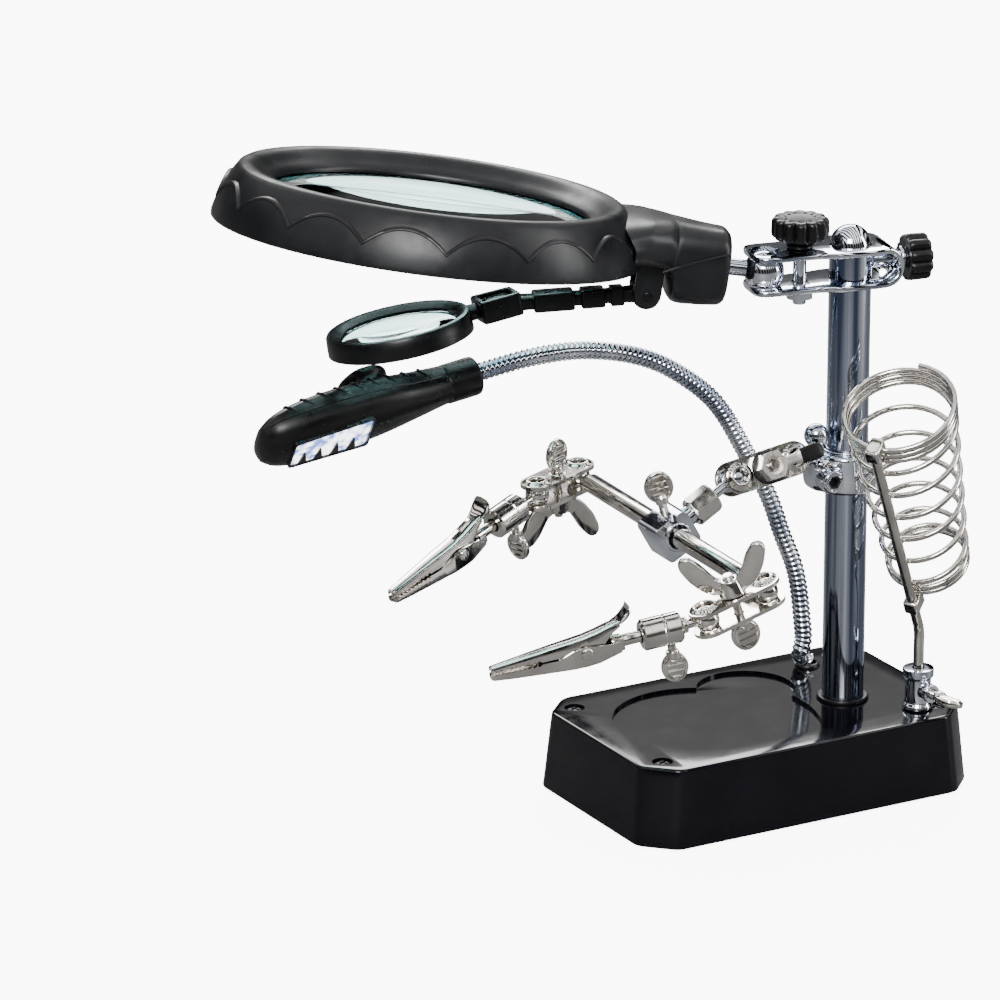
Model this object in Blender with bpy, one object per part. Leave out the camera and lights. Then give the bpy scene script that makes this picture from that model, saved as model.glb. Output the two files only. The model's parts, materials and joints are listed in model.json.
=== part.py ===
"""Helping hands stand: a weighted base with a post, two magnifiers, a gooseneck lamp,
two alligator clips on ball clamps and a coil that holds a soldering iron.

Sizes are in millimetres and become metres as each mesh is stored. +Z is up. The origin is
the centre of the anti-slip pad under the base, -Y is the front and +X is the post's end.
"""
import math

import bmesh
import bpy
from mathutils import Matrix, Vector

MM = 0.001
GAP = 0.3

# Base.
BASE_LENGTH = 115.0
BASE_WIDTH = 74.2
BASE_TOP = 25.0
BASE_RIM = 0.8
BASE_TAPER = 1.9
BASE_CHAMFER = 9.0
WALL = 2.4
SHELL_ROOF = 21.0
TRAY_DEPTH = 1.0
PAD_THICKNESS = 1.2
PLATE_THICKNESS = 2.0
CASE_SCREW = Vector((47.5, 25.8))

# Post and the clamp at its top.
POST = Vector((27.2, -5.9, 0.0))
POST_RADIUS = 6.3
POST_TOP = 166.6
CLAMP_OUT = Vector((-0.979, 0.204, 0.0)).normalized()
CLAMP_LOW = 155.3
CLAMP_HIGH = 167.3
CLAMP_SHEET = 1.8
CLAMP_KNOB_REACH = 15.8
CLAMP_KNOB_LOW = 170.4
CLAMP_KNOB_HIGH = 176.6
CLAMP_BOLT_LOW = 150.2
CLAMP_NUT = 3.0
SIDE_KNOB_REACH = 17.0
HEAD_BALL_REACH = 27.0
HEAD_BALL_RADIUS = 6.0

# Magnifier head: lens centre and the direction that the lens faces.
LENS_CENTRE = Vector((-87.2, 41.6, 185.1))
LENS_NORMAL = Vector((0.1704, 0.0425, 0.9844))
HEAD_RADIUS = 62.8
HEAD_SEAM = -12.1
NECK_START = 59.6
NECK_END = 88.6
NECK_HALF_HEIGHT = 11.4
HEAD_SIDES = 32
LENS_ARM_PIVOT = Vector((65.75, -1.0, -20.5))
LENS_ARM_BEND = Vector((25.25, -1.0, -28.25))
KNUCKLE_RADIUS = 4.3
SMALL_LENS = Vector((-101.4, 35.1, 148.4))
SMALL_LENS_NORMAL = Vector((-0.1446, 0.1359, 0.9805))
SMALL_RING_RADIUS = 21.6

# Gooseneck lamp.
HOSE_ROUTE = (
    (31.0, 23.0, 25.8), (31.2, 23.0, 34.0), (29.2, 24.2, 54.0), (24.4, 25.2, 68.0),
    (19.9, 26.3, 81.0), (13.2, 28.0, 94.5), (3.4, 30.0, 111.5), (-9.7, 32.0, 123.0),
    (-22.8, 34.0, 129.5), (-39.2, 36.0, 133.0), (-55.0, 37.8, 132.9),
)
HOSE_RADIUS = 2.8
LAMP_REAR = Vector((-74.0, 40.0, 129.9))
LAMP_AXIS = Vector((-0.988, 0.027, -0.154))
LAMP_UP = Vector((-0.077, 0.775, 0.627))
BUTTON_PLACE = 33.0
BUTTON_RADIUS = 6.2

# Bracket on the post, elbow clamp and crossbar.
BRACKET_HEIGHT = 98.0
LINER_RADIUS = 7.6
ELBOW_BALL = Vector((7.2, -6.2, 103.6))
ELBOW_ALONG = Vector((-0.990, 0.0, -0.140))
ELBOW_NORMAL = Vector((-0.059, -0.907, 0.417))
BLOCK = Vector((-34.2, -6.2, 88.0))
BLOCK_TOP = Vector((-0.25, 0, 0.97)).normalized()
CROSSBAR_FRONT = Vector((-36.7, -64.3, 88.0))
CROSSBAR_BACK = Vector((-31.2, 52.3, 88.0))
CROSSBAR_RADIUS = 3.0
CROSSBAR_NECK = 8.5

# Ball clamps, the same at the elbow and on both arms.
BALL_RADIUS = 3.6
BALL_SPACING = 19.3
CLAMP_HALF_GAP = 2.6
SHEET = 1.2
BOLT_RADIUS = 1.3

# Arms: ball, sleeve and clip along one line.
FRONT_BALL = CROSSBAR_FRONT + Vector((-18.2, 2.1, -6.0))
FRONT_ARM = Vector((-63.3, 15.9, -10.4)).normalized()
BACK_BALL = CROSSBAR_BACK + Vector((-18.0, -6.7, -1.1))
BACK_ARM = Vector((-60.7, -19.4, -16.3)).normalized()
SLEEVE_START = 8.0
SLEEVE_END = 20.0
SLEEVE_RADIUS = 4.6
CLIP_PIVOT = 37.0
CLIP_NOSE = 28.0

# Soldering-iron coil.
SOCKET = Vector((42.0, -24.5, BASE_TOP))
ROD_RADIUS = 1.6
ROD_BEND = 50.0
ROD_LEAN = Vector((-0.415, -0.305, 0.857)).normalized()
ROD_LENGTH = 81.0
COIL_SIDE = Vector((0.72, 0.47, 0.51))
COIL_START = 14.0
COIL_LENGTH = 64.0
COIL_TURNS = 10.5
COIL_WIRE = 0.9
COIL_LOW_TURNS = 0.19
COIL_LOW_RISE = 0.066
COIL_HIGH_TURNS = 0.286
COIL_HIGH_RISE = 0.1
COIL_TOP_RADIUS = 16.5
COIL_BOTTOM_RADIUS = 11.6

MATERIALS = {
    "base_plastic": ((0.012, 0.012, 0.014), 0.0, 0.18),
    "black_plastic": ((0.015, 0.015, 0.017), 0.0, 0.45),
    "head_plastic": ((0.035, 0.037, 0.04), 0.0, 0.5),
    "chrome": ((0.8, 0.81, 0.84), 1.0, 0.12),
    "nickel": ((0.72, 0.7, 0.66), 1.0, 0.22),
    "lens": ((0.75, 0.92, 0.92), 0.0, 0.02),
    "iron": ((0.08, 0.08, 0.08), 0.6, 0.7),
    "rubber": ((0.02, 0.02, 0.02), 0.0, 0.9),
    "led": ((0.8, 0.88, 1.0), 0.0, 0.2),
    "board": ((0.9, 0.9, 0.88), 0.0, 0.5),
}


def clear_scene():
    for item in list(bpy.data.objects):
        bpy.data.objects.remove(item, do_unlink=True)


def finish(name):
    """Return the named surface finish, made once."""
    if name in bpy.data.materials:
        return bpy.data.materials[name]
    colour, metallic, roughness = MATERIALS[name]
    material = bpy.data.materials.new(name)
    material.use_nodes = True
    shader = material.node_tree.nodes["Principled BSDF"]
    shader.inputs["Base Color"].default_value = (*colour, 1.0)
    shader.inputs["Metallic"].default_value = metallic
    shader.inputs["Roughness"].default_value = roughness
    return material


def place(origin, z_axis=(0, 0, 1), x_hint=(1, 0, 0)):
    """A frame at origin with its Z along z_axis and its X as near x_hint as it can be."""
    z = Vector(z_axis).normalized()
    x = Vector(x_hint)
    x = (x - z * x.dot(z)).normalized()
    frame = Matrix((x, z.cross(x), z)).transposed().to_4x4()
    frame.translation = Vector(origin)
    return frame


def lofted(sections, frame=Matrix()):
    """Close a body through loops of points, one after another, with both ends capped."""
    bm = bmesh.new()
    loops = [[bm.verts.new(point) for point in section] for section in sections]
    count = len(loops[0])
    bm.faces.new(list(reversed(loops[0])))
    bm.faces.new(loops[-1])
    for lower, upper in zip(loops, loops[1:]):
        for i in range(count):
            j = (i + 1) % count
            bm.faces.new((lower[i], lower[j], upper[j], upper[i]))
    bmesh.ops.recalc_face_normals(bm, faces=bm.faces)
    bm.transform(frame)
    return bm


def slab(outline, low, high, frame=Matrix()):
    """Extrude a flat outline of (x, y) points from height low to height high."""
    return lofted([[(x, y, height) for x, y in outline] for height in (low, high)], frame)


def turned(profile, frame=Matrix(), sides=16):
    """Turn (radius, height) points about the frame's Z. A profile off the axis makes a ring."""
    bm = bmesh.new()
    rings = []
    for radius, height in profile:
        steps = sides if radius > 0 else 1
        angles = [2 * math.pi * i / sides for i in range(steps)]
        rings.append([bm.verts.new((radius * math.cos(a), radius * math.sin(a), height)) for a in angles])
    pairs = list(zip(rings, rings[1:]))
    if len(rings[0]) > 1:
        pairs.append((rings[-1], rings[0]))
    for lower, upper in pairs:
        for i in range(sides):
            j = (i + 1) % sides
            corners = (lower[i % len(lower)], lower[j % len(lower)],
                       upper[j % len(upper)], upper[i % len(upper)])
            bm.faces.new(list(dict.fromkeys(corners)))
    bmesh.ops.recalc_face_normals(bm, faces=bm.faces)
    bm.transform(frame)
    return bm


def rod(start, end, radius, sides=10):
    start = Vector(start)
    along = Vector(end) - start
    hint = (1, 0, 0) if abs(along.normalized().x) < 0.9 else (0, 1, 0)
    profile = ((0, 0), (radius, 0), (radius, along.length), (0, along.length))
    return turned(profile, place(start, along, hint), sides)


def ball(centre, radius, sides=10):
    steps = sides // 2
    angles = [math.pi * i / steps for i in range(steps + 1)]
    profile = [(radius * math.sin(a), -radius * math.cos(a)) for a in angles]
    profile[0] = (0, -radius)
    profile[-1] = (0, radius)
    return turned(profile, place(centre), sides)


def swept(points, radius, sides):
    """A round tube along points, its sections kept square to the path without twisting."""
    points = [Vector(point) for point in points]
    sections = []
    side = None
    for i, point in enumerate(points):
        along = (points[min(i + 1, len(points) - 1)] - points[max(i - 1, 0)]).normalized()
        side = along.orthogonal() if side is None else side - along * side.dot(along)
        side.normalize()
        other = along.cross(side)
        angles = [2 * math.pi * k / sides for k in range(sides)]
        sections.append([point + radius * (side * math.cos(a) + other * math.sin(a)) for a in angles])
    return lofted(sections)


def rounded(points, steps):
    """Read steps points per span from a smooth curve through the given points."""
    points = [Vector(point) for point in points]
    curve = []
    for i in range(len(points) - 1):
        before = points[max(i - 1, 0)]
        here = points[i]
        there = points[i + 1]
        after = points[min(i + 2, len(points) - 1)]
        for step in range(steps):
            t = step / steps
            curve.append(0.5 * (2 * here + (there - before) * t
                                + (2 * before - 5 * here + 4 * there - after) * t * t
                                + (3 * here - before - 3 * there + after) * t ** 3))
    curve.append(points[-1])
    return curve


def disc(radius, sides, start=0.0):
    angles = [start + 2 * math.pi * i / sides for i in range(sides)]
    return [(radius * math.cos(a), radius * math.sin(a)) for a in angles]


def stadium(half_length, half_width, steps=4):
    """A slot-shaped outline: two half circles joined by straight sides."""
    outline = []
    for end in (1, -1):
        for i in range(steps + 1):
            a = math.pi * (i / steps - 0.5)
            outline.append((end * (half_length - half_width + half_width * math.cos(a)),
                            end * half_width * math.sin(a)))
    return outline


def scalloped(radius, depth, lobes):
    """The outline of a knob with lobes round its edge."""
    count = lobes * 3
    angles = [2 * math.pi * i / count for i in range(count)]
    return [((radius - depth * (i % 3 == 2)) * math.cos(a), (radius - depth * (i % 3 == 2)) * math.sin(a))
            for i, a in enumerate(angles)]


def combine(first, second, operation):
    holders = []
    for body in (first, second):
        mesh = bpy.data.meshes.new("working")
        body.to_mesh(mesh)
        body.free()
        holder = bpy.data.objects.new("working", mesh)
        bpy.context.collection.objects.link(holder)
        holders.append(holder)
    modifier = holders[0].modifiers.new("working", "BOOLEAN")
    modifier.operation = operation
    modifier.object = holders[1]
    evaluated = holders[0].evaluated_get(bpy.context.evaluated_depsgraph_get())
    result = bmesh.new()
    result.from_mesh(evaluated.to_mesh())
    for holder in holders:
        bpy.data.objects.remove(holder, do_unlink=True)
    return result


def joined(first, *others):
    for other in others:
        first = combine(first, other, "UNION")
    return first


def cut(first, *cutters):
    for cutter in cutters:
        first = combine(first, cutter, "DIFFERENCE")
    return first


def part(name, bm, material, origin=(0, 0, 0), sharp=35):
    """Store a body, drawn in millimetres, as a named object with its origin where it pivots."""
    origin = Vector(origin)
    bmesh.ops.remove_doubles(bm, verts=bm.verts, dist=0.002)
    bmesh.ops.translate(bm, verts=bm.verts, vec=-origin)
    bmesh.ops.scale(bm, verts=bm.verts, vec=(MM, MM, MM))
    mesh = bpy.data.meshes.new(name)
    bm.to_mesh(mesh)
    bm.free()
    mesh.materials.append(finish(material))
    mesh.shade_smooth()
    mesh.set_sharp_from_angle(angle=math.radians(sharp))
    item = bpy.data.objects.new(name, mesh)
    item.location = origin * MM
    bpy.context.collection.objects.link(item)
    return item


def base_outline(inset):
    """The base's chamfered rectangle, drawn in by inset all round."""
    x = BASE_LENGTH / 2 - inset
    y = BASE_WIDTH / 2 - inset
    c = BASE_CHAMFER
    return [(x - c, -y), (x, c - y), (x, y - c), (x - c, y), (c - x, y), (-x, y - c), (-x, c - y), (c - x, -y)]


def base_prism(bottom_inset, top_inset, low, high):
    return lofted([[(x, y, low) for x, y in base_outline(bottom_inset)],
                   [(x, y, high) for x, y in base_outline(top_inset)]])


def base():
    shell = base_prism(0, BASE_TAPER, BASE_RIM, BASE_TOP)
    shell = cut(shell, base_prism(WALL, BASE_TAPER + WALL, BASE_RIM - 1, SHELL_ROOF))
    tray = joined(slab(disc(26.0, 28), BASE_TOP - TRAY_DEPTH, BASE_TOP + 2, place((-19.5, -0.2, 0))),
                  slab(disc(15.0, 20), BASE_TOP - TRAY_DEPTH, BASE_TOP + 3, place((6.0, 15.0, 0))),
                  slab([(-20, -26), (2, -26.6), (10, -22), (14, -8), (14, 12), (-10, 24), (-26, 20)],
                       BASE_TOP - TRAY_DEPTH, BASE_TOP + 4))
    shell = cut(shell, tray)
    corners = [(sx * CASE_SCREW.x, sy * CASE_SCREW.y) for sx in (-1, 1) for sy in (-1, 1)]
    for x, y in corners:
        shell = cut(shell, rod((x, y, BASE_TOP - 2.2), (x, y, BASE_TOP + 1), 3.0))
        shell = joined(shell, rod((x, y, 4.0), (x, y, SHELL_ROOF + 0.5), 3.2))
        shell = cut(shell, rod((x, y, 8.0), (x, y, BASE_TOP), 1.5))
    inlet = rod((BASE_LENGTH / 2 - 12, 18, 12), (BASE_LENGTH / 2 + 2, 18, 12), 3.6)
    part("base_shell", cut(shell, inlet), "base_plastic")
    for number, (x, y) in enumerate(corners, 1):
        head = rod((x, y, BASE_TOP - 1.9), (x, y, BASE_TOP - 0.5), 2.6)
        shank = rod((x, y, 10.0), (x, y, BASE_TOP - 1.5), 1.2, 8)
        part(f"case_screw_{number}", joined(head, shank), "iron", (x, y, BASE_TOP))
    plate_low = PAD_THICKNESS + GAP
    plate = base_prism(WALL + 0.5, WALL + 0.6, plate_low, plate_low + PLATE_THICKNESS)
    part("base_plate", plate, "black_plastic")
    part("base_pad", slab(base_outline(8.0), 0, PAD_THICKNESS), "rubber")
    weight = slab([(-30, -24), (40, -24), (40, 24), (-30, 24)], 4.0, 18.0)
    part("ballast_weight", weight, "iron")
    jack = place((BASE_LENGTH / 2 - 11.5, 18, 12), (1, 0, 0), (0, 0, 1))
    profile = ((0, 0), (3.2, 0), (3.2, 10.4), (1.8, 10.4), (1.8, 3), (0, 3))
    part("power_inlet", turned(profile, jack, 12), "black_plastic")


def post():
    foot = POST + Vector((0, 0, BASE_TOP + GAP))
    column = rod(foot, POST + Vector((0, 0, POST_TOP - 1.5)), POST_RADIUS, 24)
    part("post", column, "chrome", foot, 60)
    cap = [(POST_RADIUS * math.cos(a), POST_RADIUS * math.sin(a))
           for a in [math.pi / 2 * i / 6 for i in range(6)]]
    profile = [(0, -1.2), (POST_RADIUS, -1.2)] + cap + [(0, POST_RADIUS)]
    part("post_cap", turned(profile, place(POST + Vector((0, 0, POST_TOP))), 24), "chrome", POST)


def top_clamp():
    """The clamp on the post: two plates joined by a bend, gripping the post and the head's ball."""
    across = Vector((0, 0, 1)).cross(CLAMP_OUT)
    frame = place(POST, (0, 0, 1), CLAMP_OUT)
    half = [(-13, 8.6), (-4, 10), (6, 10), (12, 8.4), (29, 8.4), (31.5, 6)]
    outline = [(x, -y) for x, y in half] + [(x, y) for x, y in reversed(half)]
    plates = [slab(outline, low, low + CLAMP_SHEET, frame) for low in (CLAMP_LOW, CLAMP_HIGH - CLAMP_SHEET)]
    bend_outline = [(-15, -7), (-12.5, -8), (-12.5, 8), (-15, 7)]
    body = joined(slab(bend_outline, CLAMP_LOW + 0.2, CLAMP_HIGH - 0.2, frame), *plates)
    ball_foot = POST + CLAMP_OUT * HEAD_BALL_REACH
    knob_foot = POST + CLAMP_OUT * CLAMP_KNOB_REACH
    for centre, radius in ((POST, POST_RADIUS + GAP), (ball_foot, 4.6), (knob_foot, 2.3)):
        low = Vector((centre.x, centre.y, CLAMP_LOW - 3))
        body = cut(body, rod(low, low + Vector((0, 0, 20)), radius, 20))
    middle = POST + Vector((0, 0, (CLAMP_LOW + CLAMP_HIGH) / 2))
    body = cut(body, rod(middle - CLAMP_OUT * 9, middle - CLAMP_OUT * 19, 2.3))
    part("clamp_plates", body, "chrome", POST)
    knob_frame = place(knob_foot)
    knob = joined(slab(scalloped(8.6, 0.9, 10), CLAMP_KNOB_LOW, CLAMP_KNOB_HIGH, knob_frame),
                  slab(disc(3.4, 10), CLAMP_HIGH + GAP, CLAMP_KNOB_LOW + 1, knob_frame),
                  slab(disc(2.0, 10), CLAMP_BOLT_LOW, CLAMP_HIGH + 2, knob_frame))
    part("clamp_knob", knob, "black_plastic", knob_foot)
    nut_top = CLAMP_LOW - GAP
    nut = cut(slab(disc(4.4, 6), nut_top - CLAMP_NUT, nut_top, knob_frame),
              slab(disc(2.3, 10), nut_top - CLAMP_NUT - 5, nut_top + 2, knob_frame))
    part("clamp_nut", nut, "chrome", knob_foot)
    side_frame = place(middle, -CLAMP_OUT, across)
    side_knob = joined(slab(scalloped(7.2, 0.8, 10), SIDE_KNOB_REACH, SIDE_KNOB_REACH + 7, side_frame),
                       slab(disc(3.0, 12), SIDE_KNOB_REACH - 1.7, SIDE_KNOB_REACH + 1, side_frame),
                       slab(disc(2.0, 12), POST_RADIUS + GAP + 0.1, SIDE_KNOB_REACH - 1, side_frame))
    part("clamp_side_knob", side_knob, "black_plastic", middle)


def head_ball_centre():
    return POST + CLAMP_OUT * HEAD_BALL_REACH + Vector((0, 0, (CLAMP_LOW + CLAMP_HIGH) / 2))


def head_frame():
    """Origin at the lens centre, Z out of the lens, X towards the ball in the clamp."""
    return place(LENS_CENTRE, LENS_NORMAL, head_ball_centre() - LENS_CENTRE)


def in_head(point):
    return head_frame() @ Vector(point)


def stem_line():
    """The head's stem: from the ball's centre, parallel to the head's X axis, into the neck."""
    local = head_frame().inverted() @ head_ball_centre()
    return local, in_head((NECK_END - 14, local.y, local.z))


def neck_section(station, depth, steps=12):
    """A squarish loop across the neck. Its top leans back into the ring where it starts."""
    x, half_width, low, high = station
    loop = []
    for i in range(steps):
        a = 2 * math.pi * i / steps
        squarish = 1 / (abs(math.cos(a)) ** 3 + abs(math.sin(a)) ** 3) ** (1 / 3)
        z = (low + high) / 2 + (high - low) / 2 * squarish * math.sin(a)
        loop.append((x - depth * max(0, z + 5), half_width * squarish * math.cos(a), z))
    return loop


def magnifier_head():
    frame = head_frame()
    local, inner_end = stem_line()
    centre = head_ball_centre()
    stem = joined(ball(centre, HEAD_BALL_RADIUS, 16), rod(centre, inner_end, 2.5))
    part("head_stem", stem, "chrome", centre)
    profile = ((HEAD_RADIUS, HEAD_SEAM), (62.2, -8), (60.4, -2.5), (58, 1.8), (56, 3.6), (53, 4.4),
               (50.6, 2.6), (46.5, -0.2), (46.5, -1.6), (51, -1.6), (51, -5.2), (56, -6), (60.2, HEAD_SEAM))
    shell = turned(profile, frame, HEAD_SIDES)
    stations = ((NECK_START, 23.3, -11.7, 3.4), (65, 20, -11.8, 3.2), (70, 16.5, -13.0, 2.8),
                (72.5, 15.0, local.z - NECK_HALF_HEIGHT, 2.4),
                (NECK_END, 11.0, local.z - NECK_HALF_HEIGHT, local.z + NECK_HALF_HEIGHT))
    sections = [neck_section(station, 0.62 if station[0] == NECK_START else 0) for station in stations]
    shell = joined(shell, lofted(sections, frame))
    pivot = LENS_ARM_PIVOT
    for side in (-1, 1):
        low = pivot.y + side * 6.0 - 0.8
        ear = [(x, low + y) for x, y in ((62.35, 0), (69.15, 0), (69.15, 1.6), (62.35, 1.6))]
        shell = joined(shell, slab(ear, pivot.z - 3, -10.4, frame))
    hinge = rod(in_head((pivot.x, pivot.y - 9, pivot.z)), in_head((pivot.x, pivot.y + 9, pivot.z)), 1.5)
    socket = rod(in_head((NECK_END - 15, local.y, local.z)), in_head((NECK_END + 3, local.y, local.z)), 2.8)
    part("head_shell", cut(shell, hinge, socket), "head_plastic", centre)
    ring = ((59.8, HEAD_SEAM), (57, -12.9), (49, -12.9), (47, -9.5), (47, -4.4), (50.4, -4.4),
            (50.4, -5.7), (55.7, -6.6))
    part("head_under_ring", turned(ring, frame, HEAD_SIDES), "head_plastic", centre)
    glass = ((0, 1.3), (24, 0.6), (46, -1.9), (50.4, -1.9), (50.4, -3.9), (46, -4.1), (24, -6.2), (0, -7.0))
    part("main_lens", turned(glass, frame, HEAD_SIDES), "lens", LENS_CENTRE)


def oblong(start, end, half_width):
    return [(start, -half_width), (end, -half_width), (end, half_width), (start, half_width)]


def lens_arm_frame():
    """Origin at the knuckle, X along the arm to its bend and Z up out of its broad side."""
    pivot = in_head(LENS_ARM_PIVOT)
    along = (in_head(LENS_ARM_BEND) - pivot).normalized()
    up = head_frame().col[2].to_3d()
    return place(pivot, up - along * up.dot(along), along)


def small_lens_frame():
    """Origin at the lens, X from the arm's bend to the lens and Z out of the glass."""
    return place(SMALL_LENS, SMALL_LENS_NORMAL, SMALL_LENS - in_head(LENS_ARM_BEND))


def small_lens():
    """The second lens on its folding arm under the head's neck."""
    frame = lens_arm_frame()
    pivot = frame.translation
    hinge = head_frame().col[1].to_3d()
    bend = in_head(LENS_ARM_BEND)
    arm_length = (bend - pivot).length
    ring_frame = small_lens_frame()
    along = ring_frame.col[0].to_3d()
    reach = (SMALL_LENS - bend).length
    block_frame = place(bend, SMALL_LENS_NORMAL, along)
    knuckle_frame = place(pivot, hinge, frame.col[0].to_3d())
    arm = joined(slab(disc(KNUCKLE_RADIUS, 16), -4.8, 4.8, knuckle_frame),
                 rod(pivot - hinge * 6.6, pivot + hinge * 6.6, 1.2),
                 slab(oblong(2, arm_length + 1, 3.2), -2.0, 2.0, frame),
                 slab(oblong(12, 19, 4.0), -2.8, 2.7, frame),
                 slab(oblong(21, 33, 4.6), -2.8, 2.7, frame),
                 slab([(-4, -5.4), (8.4, -6), (8.4, 6), (-4, 5.4)], -3.4, 3.4, block_frame))
    part("lens_arm", cut(arm, rod(bend + along * 2, bend + along * 10, 1.8)), "black_plastic", pivot)
    profile = ((SMALL_RING_RADIUS, -3), (21.4, 2.4), (20.6, 3.2), (19.4, 3.2), (17.4, 1.8), (17.4, 0.8),
               (18.6, 0.8), (18.6, -1.4), (17.4, -1.4), (17.4, -2.6), (19.5, -3.3), (20.9, -3.3))
    ring = turned(profile, ring_frame, 24)
    pin = rod(SMALL_LENS - along * (reach - 2.4), SMALL_LENS - along * (SMALL_RING_RADIUS - 1.5), 1.5)
    part("small_lens_ring", joined(ring, pin), "black_plastic", SMALL_LENS)
    glass = ((0, 2.2), (9, 1.7), (17.1, 0.5), (18.3, 0.5), (18.3, -1.1), (17.1, -1.1), (9, -2.2), (0, -2.7))
    part("small_lens", turned(glass, ring_frame, 24), "lens", SMALL_LENS)


def lamp_frame():
    """Origin at the lamp's rear, X along it and Z out of the side that the button is on."""
    return place(LAMP_REAR, LAMP_UP - LAMP_AXIS * LAMP_UP.dot(LAMP_AXIS), LAMP_AXIS)


def lamp():
    ends = (LAMP_REAR - LAMP_AXIS * 6, LAMP_REAR + LAMP_AXIS * 4)
    route = rounded(HOSE_ROUTE + ends, 3)
    part("gooseneck", swept(route, HOSE_RADIUS, 8), "chrome", HOSE_ROUTE[0], 60)
    frame = lamp_frame()
    stations = ((0, 5.0, -5.0, 5.0), (11, 5.6, -5.4, 5.6), (20, 7.2, -6.4, 6.0), (32, 9.8, -7.4, 6.6),
                (48, 11.2, -8.0, 6.8), (61, 10.6, -7.8, 5.8), (68, 8.6, -6.4, 3.8), (72, 5.0, -4.0, 1.0))
    sections = []
    for x, half_width, low, high in stations:
        loop = []
        for i in range(14):
            a = 2 * math.pi * i / 14
            reach = high if math.sin(a) > 0 else -low
            squarish = 1 / (abs(math.cos(a)) ** 2.5 + abs(math.sin(a)) ** 2.5) ** (1 / 2.5)
            loop.append((x, half_width * squarish * math.cos(a), reach * squarish * math.sin(a)))
        sections.append(loop)
    window = [(38, -7.0), (64, -6.0), (64, 6.0), (38, 7.0)]
    up = frame.col[2].to_3d()
    button = frame @ Vector((BUTTON_PLACE, 0, 0))
    button_frame = place(button, up, LAMP_AXIS)
    flange = turned(((0, 2), (6.9, 2), (6.9, 6.4), (8.0, 8.0), (8.0, 9.6), (0, 9.6)), button_frame, 18)
    shell = joined(lofted(sections, frame), flange)
    hose_hole = ((0, -1), (HOSE_RADIUS + 0.6, -1), (HOSE_RADIUS + 0.6, 5), (0, 5))
    shell = cut(shell, slab(window, -12, -2.6, frame),
                slab(disc(BUTTON_RADIUS + GAP, 18), 7.0, 13, button_frame),
                turned(hose_hole, place(LAMP_REAR, LAMP_AXIS, LAMP_UP), 12))
    part("lamp_shell", shell, "black_plastic", LAMP_REAR)
    inner = [(38.3, -6.7), (63.7, -5.7), (63.7, 5.7), (38.3, 6.7)]
    board = slab(inner, -4.0, -2.9, frame)
    for i, x in enumerate((42.5, 47.5, 52.5, 57.5, 61.0)):
        spot = frame @ Vector((x, 2.4 * (-1) ** i, 0))
        board = joined(board, rod(spot - up * 3.8, spot - up * 5.6, 1.9, 8))
    part("led_board", board, "board", LAMP_REAR)
    part("led_window", slab(inner, -7.2, -6.2, frame), "led", LAMP_REAR)
    part("lamp_button", slab(disc(BUTTON_RADIUS, 18), 8.2, 10.9, button_frame), "black_plastic", button)


def paddle(foot, along, shaft, width, facing):
    """A flat-headed thumbscrew: a plain shank and an oval paddle that faces the given way."""
    foot = Vector(foot)
    along = Vector(along).normalized()
    head = foot + along * (shaft + width * 0.8)
    facing = Vector(facing)
    frame = place(head, facing - along * facing.dot(along), along)
    outline = [(x * 1.1, y) for x, y in disc(width, 10)]
    return joined(slab(outline, -0.8, 0.8, frame), rod(foot, head - along * (width * 0.6), BOLT_RADIUS, 10))


def wing_nut(foot, axis, spread):
    """A wing nut standing on foot: a bored hub with two raised ears."""
    frame = place(foot, Vector(axis).cross(Vector(spread)), spread)
    ear = [(1.8, 0.6), (5, 1.2), (9.5, 5.5), (11.8, 10.5), (11.2, 13.2), (9.4, 13.6), (6.8, 10), (4.2, 5.4), (1.8, 4.4)]
    hub = turned(((3.7, 0), (3.2, 4.2), (1.6, 4.2), (1.6, 0)), place(foot, axis, spread), 12)
    ears = []
    upward = 1 if frame.col[1].to_3d().dot(Vector(axis)) > 0 else -1
    for side in (-1, 1):
        ears.append(slab([(side * x, upward * y) for x, y in ear], -0.8, 0.8, frame))
    body = joined(hub, *ears)
    axis = Vector(axis).normalized()
    return cut(body, rod(Vector(foot) - axis, Vector(foot) + axis * 8, 1.6))


def clamp_plate(name, middle, along, normal, side):
    """One of a ball clamp's two plates, with seats for both balls and a bolt hole between."""
    frame = place(middle, normal, along)
    low, high = sorted((side * CLAMP_HALF_GAP, side * (CLAMP_HALF_GAP + SHEET)))
    plate = slab(stadium(BALL_SPACING / 2 + 4.8, 5.2), low, high, frame)
    for x, radius in ((-BALL_SPACING / 2, 3.0), (0, 1.6), (BALL_SPACING / 2, 3.0)):
        plate = cut(plate, slab([(x + u, v) for u, v in disc(radius, 10)], low - 2, high + 2, frame))
    part(name, plate, "nickel", middle)


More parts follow.
